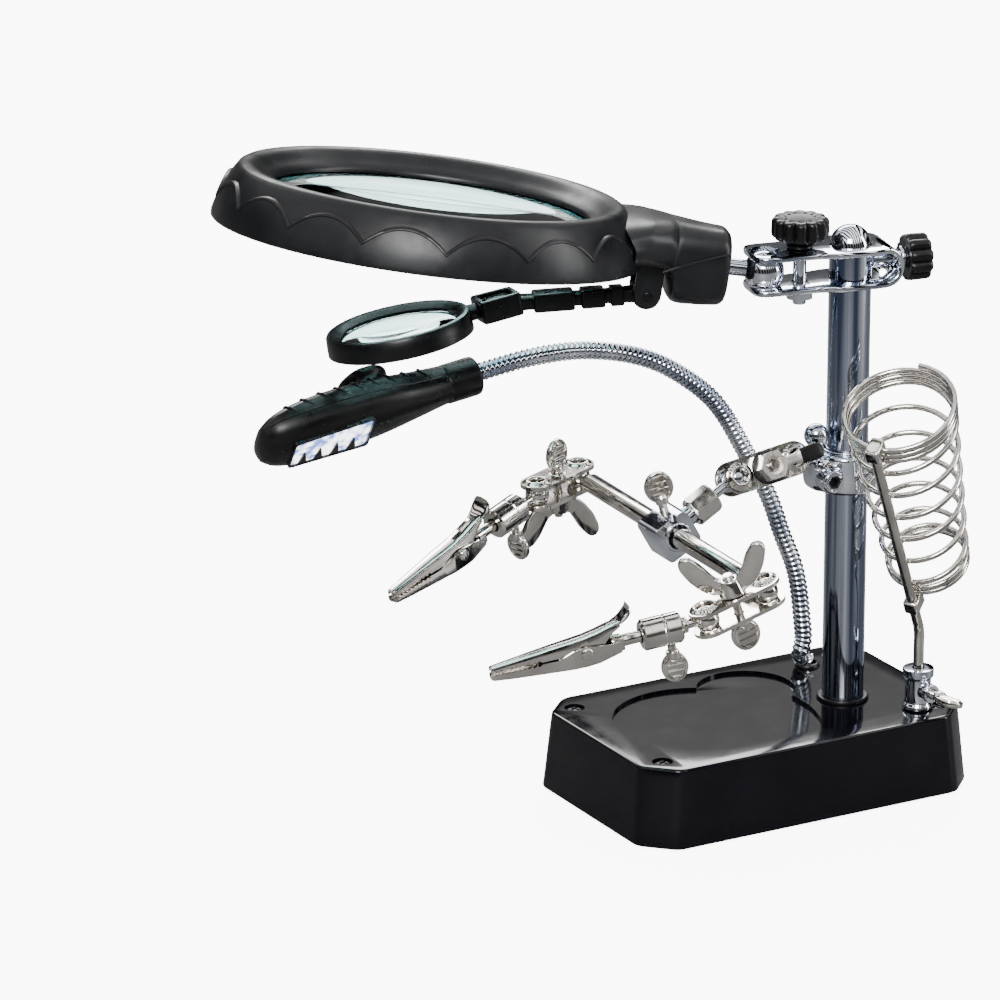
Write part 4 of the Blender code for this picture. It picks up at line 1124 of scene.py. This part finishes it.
def ring_cord(loop, radius, axes, sides=8):
    """A closed round cord through a flat loop of points."""
    points = [Vector(point) for point in loop]
    bm = bmesh.new()
    rings = []
    for i, point in enumerate(points):
        along = (points[(i + 1) % len(points)] - points[i - 1]).normalized()
        side = along.cross(Vector((0, 0, 1))).normalized()
        rings.append([bm.verts.new(point + radius * (side * math.cos(2 * math.pi * k / sides)
                                                     + Vector((0, 0,
                                                               1)) * math.sin(2 * math.pi * k / sides)))
                      for k in range(sides)])
    for lower, upper in zip(rings, rings[1:] + rings[:1]):
        for k in range(sides):
            j = (k + 1) % sides
            bm.faces.new((lower[k], lower[j], upper[j], upper[k]))
    bmesh.ops.recalc_face_normals(bm, faces=bm.faces)
    bm.transform(axes)
    return bm


def threaded(start, end, radius, pitch=0.6, depth=0.13):
    """A shank with thread ridges along it."""
    start = Vector(start)
    end = Vector(end)
    length = (end - start).length
    count = max(int(length / (pitch / 4)), 4)
    route = [start.lerp(end, i / count) for i in range(count + 1)]
    return lofted(sections_along(route, 16, lambda i: radius - depth * (i % 4 in (1, 2))))


def wing_nut(foot, axis, spread):
    """A wing nut: a tapered hub with a rim and two swept-back ears."""
    axis = Vector(axis).normalized()
    axes = place(foot, Vector(axis).cross(Vector(spread)), spread)
    upward = 1 if axes.col[1].to_3d().dot(axis) > 0 else -1
    ear = [(1.7, 0.4), (5.0, 0.5), (8.2, 2.8), (11.0, 6.6), (12.8, 10.8), (12.8, 13.0), (11.4, 14.4),
           (9.4, 14.0), (6.8, 11.2), (4.8, 7.6), (3.3, 5.2), (1.7, 4.5)]
    outline = filleted(ear, 1.6, 4)
    bodies = [turned(eased([(3.9, 0), (3.8, 0.8), (3.3, 3.0), (2.8, 4.7), (1.6, 4.7), (1.6, 0)], 0.35),
                     place(foot, axis, spread), 48)]
    for side in (-1, 1):
        bodies.append(softened_slab([(side * x, upward * y) for x, y in outline], -1.25, 1.25, 0.9, axes, 5))
    return gathered(*bodies)


def ball_plate(name, middle, along, normal, side, body, node):
    """One stamped plate of a ball clamp, with a pressed seat round each ball."""
    axes = place(middle, normal, along)
    if side < 0:
        axes = axes @ Matrix.Rotation(math.pi, 4, "X")
    outline = []
    for x, y in stadium(BALL_SPACING / 2 + 4.8, 5.2, 20):
        waist = 1 - 0.1 * math.exp(-(x / 3.5) ** 2)
        outline.append((x, y * waist))
    plate = slab(outline, HALF_GAP, HALF_GAP + SHEET, axes)
    for x, radius in ((-BALL_SPACING / 2, 3.0), (0, 1.6), (BALL_SPACING / 2, 3.0)):
        plate = cut(plate, slab([(x + u, v) for u, v in disc(radius, 48)], 0, 8, axes))
    seats = []
    for x in (-BALL_SPACING / 2, BALL_SPACING / 2):
        profile = [(2.1, 4.15), (2.5, 4.75), (3.1, 4.7), (4.0, 3.95), (4.5, 3.7), (3.2, 3.6), (2.8, 3.4)]
        seats.append(turned(eased(profile, 0.25), axes @ Matrix.Translation((x, 0, 0)), 48))
    dimple = turned(eased([(1.6, 3.7), (3.0, 3.7), (2.6, 4.0), (1.6, 4.0)], 0.1), axes, 40)
    piece(name, plate, "nickel", body, (node,), 0.32, 30, middle)
    piece(name + "_seats", gathered(*seats, dimple), "nickel", body)


def bracket_pieces():
    """The sliding bracket: its sleeve, collar, boss, ball stud and screws."""
    centre = position("bracket_screw_turn")
    centre = Vector((POST.x, POST.y, centre.z))
    low, high = node_box("bracket_liner")
    radius = (high.x - low.x) / 2
    liner = turned(eased([(radius, low.z), (radius, high.z), (POST_RADIUS + 0.3, high.z),
                          (POST_RADIUS + 0.3, low.z)], 0.3), POST_AXES, 80)
    piece("bracket_sleeve", liner, "chrome", "bracket_liner", ("bracket_liner",))
    elbow_ball = position("elbow_swing")
    profile = [(radius + 0.3, low.z + 0.5), (9.6, low.z + 0.5), (10.4, low.z + 1.4), (10.5, centre.z),
               (10.4, high.z - 1.4), (9.6, high.z - 0.5), (radius + 0.3, high.z - 0.5)]
    collar = turned(eased(profile, 0.6, 4), POST_AXES, 96)
    sections = []
    for x, half, down, up in between(((-6, 7.0, -5.8, 5.8), (-9.5, 5.6, -5.6, 5.8), (-12, 4.8, -5.0, 5.5),
                                      (-13.2, 3.4, -4.0, 4.8)), 5):
        sections.append([(x, y * half, (up + down) / 2 + z * (up - down) / 2)
                         for y, z in rounded_box(5, 3.5)])
    boss = lofted(sections, place(centre))
    hole_cutter = rod((POST.x, POST.y, low.z - 2), (POST.x, POST.y, high.z + 2), radius + 0.3, 80)
    boss = cut(boss, hole_cutter)
    piece("bracket_collar", collar, "chrome", "bracket", ("bracket",), 0.0, 32)
    piece("bracket_boss", boss, "chrome", "bracket", (), 0.3, 32)
    stud = gathered(rod(centre + Vector((-11, 0, 3.8)), elbow_ball, STUD_RADIUS, 32),
                    ball(elbow_ball, STUD_BALL, 48))
    piece("bracket_stud", stud, "chrome", "bracket")
    bolt_axes = place(centre + Vector((-9.6, 0, -0.9)), (0, -1, 0))
    barrel = turned(eased([(0, 3.0), (3.6, 3.0), (3.6, 8.2), (3.2, 8.8), (0, 8.8)], 0.3), bolt_axes, 56)
    barrel = cut(barrel, slab(disc(2.2, 6), 6.6, 9.5, bolt_axes))
    piece("bracket_barrel", barrel, "chrome", "bracket", (), 0.0, 32)
    socket = cut(hex_body(2.15, 6.5, 8.5, bolt_axes), slab(disc(1.5, 6), 7.2, 9.5, bolt_axes))
    piece("bracket_hex", socket, "iron", "bracket", (), 0.0, 32)
    pin = position("bracket_screw_turn")
    screw = gathered(threaded(pin + Vector((0, 0, 3)), pin + Vector((0, 0, 9)), 1.3),
                     ball(pin + Vector((0, 0, 11.5)), 3.7, 48),
                     turned(eased([(0, 6.2), (2.4, 6.2), (2.4, 7.4), (0, 7.4)], 0.2), place(pin), 32))
    piece("bracket_ball_screw", screw, "chrome", "bracket_screw", ("bracket_screw",))


def elbow_pieces():
    """The clamp between the bracket and the block, locked by a lever on a nut."""
    start = position("elbow_swing")
    end = position("block_swing")
    along = (end - start).normalized()
    normal = direction("elbow_swing")
    middle = position("elbow_lever_turn")
    ball_plate("elbow_sheet_front", middle, along, normal, 1, "elbow", "elbow_plate_front")
    ball_plate("elbow_sheet_back", middle, along, normal, -1, "elbow", "elbow_plate_back")
    axes = place(middle, normal, along)
    bolt = gathered(hex_body(3.2, -OUTSIDE - 2.4, -OUTSIDE, axes),
                    threaded(axes @ Vector((0, 0, -OUTSIDE - 1)), axes @ Vector((0, 0, OUTSIDE + 5.2)), 1.3))
    piece("elbow_bolt_visible", bolt, "nickel", "elbow", ("elbow_bolt",), 0.0, 32)
    nut = hex_body(4.7, OUTSIDE + 0.4, OUTSIDE + 4.6, axes)
    dish = [(0, OUTSIDE - 1), (1.7, OUTSIDE - 1), (1.7, OUTSIDE + 3.6), (2.9, OUTSIDE + 4.7),
            (0, OUTSIDE + 4.7)]
    nut = cut(nut, turned(dish, axes, 48))
    washer = turned(eased([(1.6, OUTSIDE), (5.0, OUTSIDE), (5.0, OUTSIDE + 0.4), (1.6, OUTSIDE + 0.4)],
                          0.1), axes, 56)
    piece("lever_washer", washer, "iron", "elbow_lever", (), 0.0, 32)
    sections = []
    for x, half, thick in between(((-2, 1.5, 0.9), (-8, 1.5, 0.9), (-10.5, 2.3, 1.3), (-15.6, 2.5, 1.4),
                                   (-17.4, 1.7, 1.0)), 5):
        sections.append([(x, y * half, OUTSIDE + 2.1 + z * thick) for y, z in rounded_box(4, 3.5)])
    grip = lofted(sections[9:], axes)
    bar = lofted(sections[:10], axes)
    # The nut and its bar take the lighter nickel copy with its painted highlight.
    piece("lever_nut", gathered(nut, bar), "nut_nickel_painted_highlight", "elbow_lever", ("elbow_lever",), 0.0, 32)
    piece("lever_grip", grip, "black_plastic", "elbow_lever", (), 0.0, 40)


BAR_RADIUS = 3.0
BAR_NECK = 8.5


def crossbar_way():
    """The crossbar's direction, from the front arm to the back one."""
    bar = direction("crossbar_turn")
    return -bar if bar.y < 0 else bar


def block_pieces():
    """The block that the crossbar runs through, its split and its hand screw."""
    joint = position("block_swing")
    block = position("crossbar_turn")
    bar = crossbar_way()
    along = (block - joint).normalized()
    axes = place(block, bar, along)
    outline = filleted([(-6.2, -4.8), (-4.8, -6.1), (5.0, -6.1), (6.1, -5.0), (6.1, 5.0), (5.0, 6.1),
                        (-4.8, 6.1), (-6.2, 4.8)], 1.4, 5)
    body = slab(outline, -5.5, 5.5, axes)
    body = cut(body, slab(disc(BAR_RADIUS + 0.3, 56), -9, 9, axes))
    top = direction("block_screw_turn")
    slot_axes = place(block, bar, top)
    body = cut(body, slab([(0, -0.8), (9, -0.8), (9, 0.8), (0, 0.8)], -9, 9, slot_axes))
    piece("bar_block", body, "chrome", "block", ("crossbar_block",), 0.45, 30, block)
    lip = []
    for side in (-1, 1):
        lip.append(turned(eased([(3.35, 5.4), (4.5, 5.4), (4.3, 6.1), (3.5, 6.3)], 0.2),
                          axes @ Matrix.Rotation(0 if side > 0 else math.pi, 4, "X"), 48))
    piece("bar_block_lips", gathered(*lip), "chrome", "block")
    sleeve_axes = place(joint, along)
    sleeve = slab(disc(4.7, 8, math.pi / 8), 8.5, 17, sleeve_axes)
    trim = turned([(0, 8), (4.1, 8), (4.1, 8.5), (4.75, 9.3), (4.75, 16.2), (4.1, 17), (0, 17)],
                  sleeve_axes, 64)
    sleeve = combine(sleeve, trim, "INTERSECT")
    neck = rod(block - along * 11, block - along * 5, 3.0, 40)
    rod_part = rod(joint, block - along * 12, STUD_RADIUS, 32)
    piece("block_sleeve", sleeve, "nickel", "block", (), 0.15, 30)
    piece("block_stud", gathered(neck, rod_part, ball(joint, STUD_BALL, 48)), "chrome", "block")
    screw = paddle(block + top * 3.4, top, 8.0, 4.4, (-0.35, -0.85, 0.3), 5)
    piece("block_paddle", screw, "nickel", "block_screw", ("block_screw",), 0.0, 40)


def crossbar_pieces():
    """The crossbar, with a ball on a thin stud at each end."""
    bar = crossbar_way()
    front = position("front_clamp_swing")
    back = position("back_clamp_swing")
    shaft = gathered(rod(front + bar * BAR_NECK, back - bar * BAR_NECK, BAR_RADIUS, 56, 0.6),
                     rod(front, front + bar * (BAR_NECK + 1), STUD_RADIUS, 32),
                     rod(back - bar * (BAR_NECK + 1), back, STUD_RADIUS, 32),
                     ball(front, STUD_BALL, 48), ball(back, STUD_BALL, 48))
    piece("bar", shaft, "nickel", "crossbar", ("crossbar",), 0.0, 40)


# ---------------------------------------------------------------- arms and clips

def arm_pieces(name, facing_up, screw_down):
    """One arm: the ball clamp at the crossbar, its wing nut and screw, and the stem, sleeve and clip."""
    bar_ball = position(f"{name}_clamp_swing")
    arm_ball = position(f"{name}_arm_swing")
    along = direction(f"{name}_clip_twist")
    normal = direction(f"{name}_clamp_swing")
    link = arm_ball - bar_ball
    middle = position(f"{name}_wing_nut_turn")
    ball_plate(f"{name}_sheet_upper", middle, link, normal, 1, f"{name}_clamp", f"{name}_plate_upper")
    ball_plate(f"{name}_sheet_lower", middle, link, normal, -1, f"{name}_clamp", f"{name}_plate_lower")
    nut_side = normal if facing_up else -normal
    spread = link.normalized() + along.cross(normal) * 0.5
    piece(f"{name}_winged_nut", wing_nut(middle + nut_side * OUTSIDE, nut_side, spread), "nickel",
          f"{name}_wing_nut", (f"{name}_wing_nut",), 0.0, 35)
    start = middle + nut_side * (OUTSIDE + 6)
    screw = paddle(start, -nut_side, 2 * OUTSIDE + 8, 4.4, link.cross(normal), 4)
    piece(f"{name}_paddle", screw, "nickel", f"{name}_clamp", (f"{name}_clamp_screw",), 0.0, 40)
    stem = gathered(ball(arm_ball, STUD_BALL, 48), rod(arm_ball, arm_ball + along * 7.5, 1.4, 32),
                    rod(arm_ball + along * 7, arm_ball + along * 13.5, 2.0, 40, 0.3),
                    turned(eased([(0, 6.2), (2.4, 6.2), (2.4, 7.6), (0, 7.6)], 0.2),
                           place(arm_ball, along, UP), 32))
    piece(f"{name}_ball_stem", stem, "nickel", f"{name}_stem", (f"{name}_stem",))
    sleeve_axes = place(arm_ball, along, UP)
    profile = [(2.2, 8.0), (3.9, 8.0), (4.6, 8.7), (4.6, 12.6), (4.42, 12.9), (4.42, 13.3), (4.6, 13.6),
               (4.6, 19.3), (3.9, 20.0), (2.2, 20.0)]
    down = -sleeve_axes.col[0].to_3d()
    lock = position(f"{name}_sleeve_screw_turn")
    sleeve = cut(turned(profile, sleeve_axes, 80), rod(lock + down, lock + down * 8, 1.6, 32))
    piece(f"{name}_tube", sleeve, "nickel", f"{name}_clip", (f"{name}_sleeve",), 0.0, 25)
    facing = along if screw_down else along.cross(down)
    piece(f"{name}_tube_screw", paddle(lock + down * 2.6, down, 6.0, 4.0, facing, 4), "nickel",
          f"{name}_sleeve_screw", (f"{name}_sleeve_screw",), 0.0, 40)
    clip_pieces(name, position(f"{name}_jaw_open"), along)


def channel(stations, wall, opens_up):
    """A bent-sheet channel along X: stations are (x, half width, back, edge)."""
    flip = 1 if opens_up else -1
    sections = []
    for x, half, back, edge in stations:
        t = min(wall, half * 0.55)
        c = min(0.7, half * 0.5)
        depth = min(t, abs(edge - back) * 0.6)
        b = back * flip
        e = edge * flip
        loop = [(-half, e), (-half, b + c), (-half + c * 0.3, b + c * 0.3), (-half + c, b), (half - c, b),
                (half - c * 0.3, b + c * 0.3), (half, b + c), (half, e), (half - t, e),
                (half - t, b + depth), (-half + t, b + depth), (-half + t, e)]
        sections.append([(x, y, z * flip) for y, z in loop])
    return sections


def toothed(stations, start, end, depth, pitch, opens_up):
    """Resample channel stations finely and cut teeth in the edge between start and end."""
    rows = []
    x = stations[0][0]
    while x < stations[-1][0] + 1e-6:
        half, back, edge = (read_at(x, stations, column) for column in (1, 2, 3))
        if start < x < end:
            phase = ((x - start) / pitch) % 1.0
            notch = depth * (1 - abs(2 * phase - 1))
            edge += -notch if opens_up else notch
        rows.append((x, half, back, edge))
        x += pitch / 4
    return rows


CLIP_SHEET = 0.65
# Where a jaw's teeth start and end, their depth and their pitch.
TEETH = (13.0, 27.6, 0.7, 1.6)


def clip_pieces(name, pivot, along):
    """A crocodile clip: two toothed jaws of bent sheet, their pin and spring, and the tail."""
    axes = place(pivot, (0, 0, 1), along)
    axes = place(pivot, axes.col[1].to_3d().cross(-along), along)
    side = axes.col[1].to_3d()
    nose = 28.0
    lower = toothed(((-10.5, 3.0, -2.6, 0.6), (-7, 3.5, -3.2, 0.9), (-3.5, 3.8, -3.9, 1.6),
                     (0, 3.8, -4.1, 2.1), (4, 3.8, -4.0, 1.6), (8, 3.3, -3.8, -0.1), (14, 2.8, -3.4, -0.1),
                     (22, 2.2, -2.8, -0.1), (nose - 0.6, 1.8, -2.2, -0.1), (nose, 1.5, -1.8, -0.4)),
                    *TEETH, True)
    body = lofted(channel(lower, CLIP_SHEET, True), axes)
    tail = rod(pivot - along * 17, pivot - along * 8.0, 1.8, 40, 0.3)
    clamp_band = lofted(channel(((-11.5, 2.5, -2.3, 1.4), (-8.5, 2.7, -2.5, 1.6)), 0.6, True), axes)
    rivet_head = eased([(0, 3.7), (1.9, 3.7), (1.5, 4.4), (0, 4.5)], 0.3)
    rivet = gathered(rod(pivot - side * 4.1, pivot + side * 4.1, 0.9, 32, 0.2),
                     *(turned(rivet_head, place(pivot, way, along), 32) for way in (side, -side)))
    piece(f"{name}_lower_jaw", body, "nickel", f"{name}_clip", (f"{name}_jaw_lower",), 0.0, 30)
    piece(f"{name}_tail", gathered(tail, clamp_band, rivet), "nickel", f"{name}_clip", (), 0.0, 35)
    upper = toothed(((-11, 2.4, 6.6, 5.2), (-8, 2.6, 6.0, 3.6), (-4, 2.7, 5.0, -0.6), (0, 2.7, 4.3, -2.0),
                     (4.5, 2.7, 3.9, -1.6), (8.5, 2.6, 3.6, 0.3), (14, 2.4, 3.1, 0.3), (22, 2.0, 2.4, 0.3),
                     (nose - 0.6, 1.7, 1.9, 0.3), (nose, 1.4, 1.5, 0.6)), *TEETH, False)
    body = lofted(channel(upper, CLIP_SHEET, False), axes)
    body = cut(body, rod(pivot - side * 6, pivot + side * 6, 1.2, 24))
    tab = []
    for x, height, half, thick in between(((-9.5, 5.9, 2.4, 0.5), (-11.5, 6.6, 3.0, 0.48),
                                           (-13.2, 7.8, 3.4, 0.45), (-14.3, 9.2, 3.2, 0.42),
                                           (-14.5, 10.5, 2.3, 0.4), (-14.1, 11.4, 1.1, 0.35)), 5):
        tab.append([(x + z * thick * 0.7, y * half, height + z * thick) for y, z in rounded_box(3, 3.5)])
    piece(f"{name}_upper_jaw", gathered(body, lofted(tab, axes)), "nickel", f"{name}_jaw",
          (f"{name}_jaw_upper",), 0.0, 30)
    coil = []
    for k in range(97):
        a = 2 * math.pi * 4 * k / 96
        coil.append(axes @ Vector((1.6 * math.cos(a), -1.7 + 3.4 * k / 96, 1.6 * math.sin(a))))
    piece(f"{name}_spring", swept(coil, 0.32, 8), "iron", f"{name}_clip", ())


# ---------------------------------------------------------------- soldering-iron coil

ROD_RADIUS = 1.6
ROD_BEND = 50.0
ROD_LENGTH = 81.0
ROD_LEAN = Vector((-0.415, -0.305, 0.857)).normalized()
COIL_SIDE = Vector((0.72, 0.47, 0.51))
COIL_TURNS = 10.5
COIL_START = 14
COIL_LENGTH = 64
COIL_BOTTOM_RADIUS = 11.6
COIL_WIDENS = 4.9
WIRE_RADIUS = 0.9
# Share of the turns wound close at each end, and share of the length that they take.
CLOSE_BELOW = (0.19, 0.066)
CLOSE_ABOVE = (0.286, 0.1)


def coil_rise(t):
    """How far up the coil a share of its turns gets: close at both ends, open between them."""
    turns_below, rise_below = CLOSE_BELOW
    turns_above, rise_above = CLOSE_ABOVE
    if t < turns_below:
        return rise_below * t / turns_below
    if t > 1 - turns_above:
        return 1 - rise_above * (1 - t) / turns_above
    return rise_below + (1 - rise_below - rise_above) * (t - turns_below) / (1 - turns_below - turns_above)


def holder_cup(foot):
    """The holder's socket on the base, with its hand screw."""
    socket = turned(eased([(1.9, 0), (4.6, 0), (4.6, 1.0), (3.9, 2), (3.9, 9.4), (4.7, 10.1), (4.7, 12.6),
                           (1.9, 12.6)], 0.35),
                    place(foot), 72)
    lock = position("holder_screw_turn")
    out = direction("holder_screw_turn")
    boss = cut(rod(lock + out * 3, lock + out * 7, 2.8, 48, 0.3),
               rod(lock + out * 2, lock + out * 9, 1.6, 32))
    piece("holder_cup", gathered(socket, boss), "chrome", "base", ("holder_socket",), 0.0, 32)
    piece("holder_hand_screw", paddle(lock + out * 2.2, out, 9, 4.2, (0.3, 0, 1), 3), "nickel",
          "holder_screw", ("holder_screw",), 0.0, 40)


def holder_pieces():
    """The soldering-iron holder: its socket and hand screw, the bent rod and the wire coil."""
    foot = position("holder_turn") + UP * 0.3
    holder_cup(foot)
    lean = ROD_LEAN
    bend = Vector((foot.x, foot.y, ROD_BEND))
    route = [foot + UP * 0.6, foot + UP * 10, bend - UP * 5, bend - UP * 1.5,
             bend + lean * 1.5, bend + lean * 5, bend + lean * 40, bend + lean * ROD_LENGTH]
    piece("holder_stem", swept(rounded(route, 8), ROD_RADIUS, 28), "nickel", "holder", ("holder_rod",),
          0.0, 40)
    side = (COIL_SIDE - lean * COIL_SIDE.dot(lean)).normalized()
    across = lean.cross(side)
    points = []
    count = int(COIL_TURNS * 40)
    for i in range(count + 1):
        t = i / count
        rise = coil_rise(t)
        radius = COIL_BOTTOM_RADIUS + COIL_WIDENS * rise
        angle = math.pi + 2 * math.pi * COIL_TURNS * t
        out_of_rod = radius + ROD_RADIUS + WIRE_RADIUS + 0.3
        centre = bend + lean * (COIL_START + COIL_LENGTH * rise) + side * out_of_rod
        points.append(centre + radius * (side * math.cos(angle) + across * math.sin(angle)))
    piece("wire_coil", swept(points, WIRE_RADIUS, 16), "nickel", "holder", ("iron_coil",), 0.0, 60)
    for share, name in ((0.14, "coil_clip_low"), (0.97, "coil_clip_high")):
        centre = bend + lean * (ROD_LENGTH * share)
        clip_axes = place(centre, lean, side)
        body = softened_slab(tapered(-2.3, 2.3, 4.3, 2.1, 1.0, 4), -2.2, 2.2, 0.5, clip_axes)
        body = cut(body, slab(disc(1.65, 32), -5, 5, clip_axes))
        piece(name, body, "nickel", "holder", (), 0.0, 40)


# ---------------------------------------------------------------- all the pieces

base_pieces()
post_pieces()
clamp_sheet()
top_knob()
side_knob()
head_pieces()
small_lens_pieces()
hose_pieces()
lamp_housing()
lamp_trim()
lamp_button()
lamp_lights()
bracket_pieces()
elbow_pieces()
block_pieces()
crossbar_pieces()
arm_pieces("front", True, False)
arm_pieces("back", False, True)
holder_pieces()


# ---------------------------------------------------------------- stage, light and camera

FLOOR_REACH = 3.0
FLOOR_GLOW = 8.0
SOFT_LIGHT = (1.0, 1.0, 1.0, 1.0)
THROUGH_GLASS = (5.0, 5.0, 5.0, 1.0)
BACKDROP = (9.0, 9.0, 9.0, 1.0)


def stage():
    """A pale floor that looks as bright as the backdrop and darker in reflections."""
    mesh = bpy.data.meshes.new("floor")
    corners = [(x * FLOOR_REACH, y * FLOOR_REACH, 0) for x, y in ((-1, -1), (1, -1), (1, 1), (-1, 1))]
    mesh.from_pydata(corners, [], [(0, 1, 2, 3)])
    floor = bpy.data.objects.new("floor", mesh)
    bpy.context.collection.objects.link(floor)
    material, tree, principled = shader("floor", (0.93, 0.93, 0.93), Roughness=0.6)
    path = tree.nodes.new("ShaderNodeLightPath")
    mirrored = ramp(tree, path.outputs["Is Glossy Ray"], grey(0.93), grey(0.1), 0.0, 1.0)
    tree.links.new(mirrored, principled.inputs["Base Color"])
    principled.inputs["Emission Color"].default_value = (1.0, 1.0, 1.0, 1.0)
    seen = tree.nodes.new("ShaderNodeMath")
    seen.operation = "MAXIMUM"
    tree.links.new(path.outputs["Is Camera Ray"], seen.inputs[0])
    tree.links.new(path.outputs["Is Transmission Ray"], seen.inputs[1])
    strength = tree.nodes.new("ShaderNodeMath")
    strength.operation = "MULTIPLY"
    strength.inputs[1].default_value = FLOOR_GLOW
    tree.links.new(seen.outputs[0], strength.inputs[0])
    tree.links.new(strength.outputs[0], principled.inputs["Emission Strength"])
    mesh.materials.append(material)


def area_light(name, place_at, size, power, colour=(1, 1, 1), look_at=(-0.05, 0.0, 0.1)):
    data = bpy.data.lights.new(name, "AREA")
    data.shape = "RECTANGLE"
    data.size = size[0]
    data.size_y = size[1]
    data.energy = power
    data.color = colour
    light = bpy.data.objects.new(name, data)
    light.location = place_at
    light.rotation_euler = (Vector(look_at) - Vector(place_at)).to_track_quat("-Z", "Y").to_euler()
    bpy.context.collection.objects.link(light)


def mixed(tree, factor, first, second, blend="MIX"):
    """Mix two colours. Each input is a constant or another node's output."""
    node = tree.nodes.new("ShaderNodeMix")
    node.data_type = "RGBA"
    node.blend_type = blend
    for name, value in (("Factor", factor), ("A", first), ("B", second)):
        if isinstance(value, bpy.types.NodeSocket):
            tree.links.new(value, node.inputs[name])
        else:
            node.inputs[name].default_value = value
    return node.outputs["Result"]


def studio():
    """A studio round the stand: white to the camera, with soft bands for the metal to reflect."""
    world = bpy.data.worlds.new("studio")
    bpy.context.scene.world = world
    world.use_nodes = True
    tree = world.node_tree
    background = tree.nodes["Background"]
    coordinates = tree.nodes.new("ShaderNodeTexCoord")
    separate = tree.nodes.new("ShaderNodeSeparateXYZ")
    tree.links.new(coordinates.outputs["Generated"], separate.inputs["Vector"])
    bands = tree.nodes.new("ShaderNodeTexWave")
    bands.inputs["Scale"].default_value = 1.5
    bands.inputs["Distortion"].default_value = 2.5
    bands.inputs["Detail"].default_value = 0.0
    tree.links.new(coordinates.outputs["Generated"], bands.inputs["Vector"])
    streaks = ramp(tree, bands.outputs["Fac"], grey(0.01), grey(2.6), 0.45, 0.68)
    height = ramp(tree, separate.outputs["Z"], grey(0.05), grey(1.0), 0.3, 0.55)
    shaded = mixed(tree, 1.0, streaks, height, "MULTIPLY")
    path = tree.nodes.new("ShaderNodeLightPath")
    reflected = mixed(tree, path.outputs["Is Glossy Ray"], SOFT_LIGHT, shaded)
    through = mixed(tree, path.outputs["Is Transmission Ray"], reflected, THROUGH_GLASS)
    shown = mixed(tree, path.outputs["Is Camera Ray"], through, BACKDROP)
    tree.links.new(shown, background.inputs["Color"])
    background.inputs["Strength"].default_value = 1.0


def lamps():
    """A main light on the left, a tall one on the right and a wide one behind."""
    area_light("key", (-0.9, -1.2, 1.3), (0.7, 0.7), 40)
    area_light("fill", (1.3, -0.9, 0.7), (0.3, 1.2), 14)
    area_light("rim", (0.5, 1.3, 1.0), (1.2, 0.4), 20)


def camera():
    """A long lens well back from the stand."""
    azimuth = math.radians(CAMERA_AZIMUTH)
    elevation = math.radians(CAMERA_ELEVATION)
    back = Vector((math.sin(azimuth) * math.cos(elevation), -math.cos(azimuth) * math.cos(elevation),
                   math.sin(elevation)))
    right = Vector((math.cos(azimuth), math.sin(azimuth), 0))
    data = bpy.data.cameras.new("camera")
    data.lens = CAMERA_LENS
    data.sensor_width = 36.0
    data.clip_end = 20.0
    item = bpy.data.objects.new("camera", data)
    item.matrix_world = Matrix((right, back.cross(right), back)).transposed().to_4x4()
    item.location = (CAMERA_TARGET + back * CAMERA_DISTANCE) * MM
    bpy.context.collection.objects.link(item)
    bpy.context.scene.camera = item


stage()
studio()
lamps()
camera()
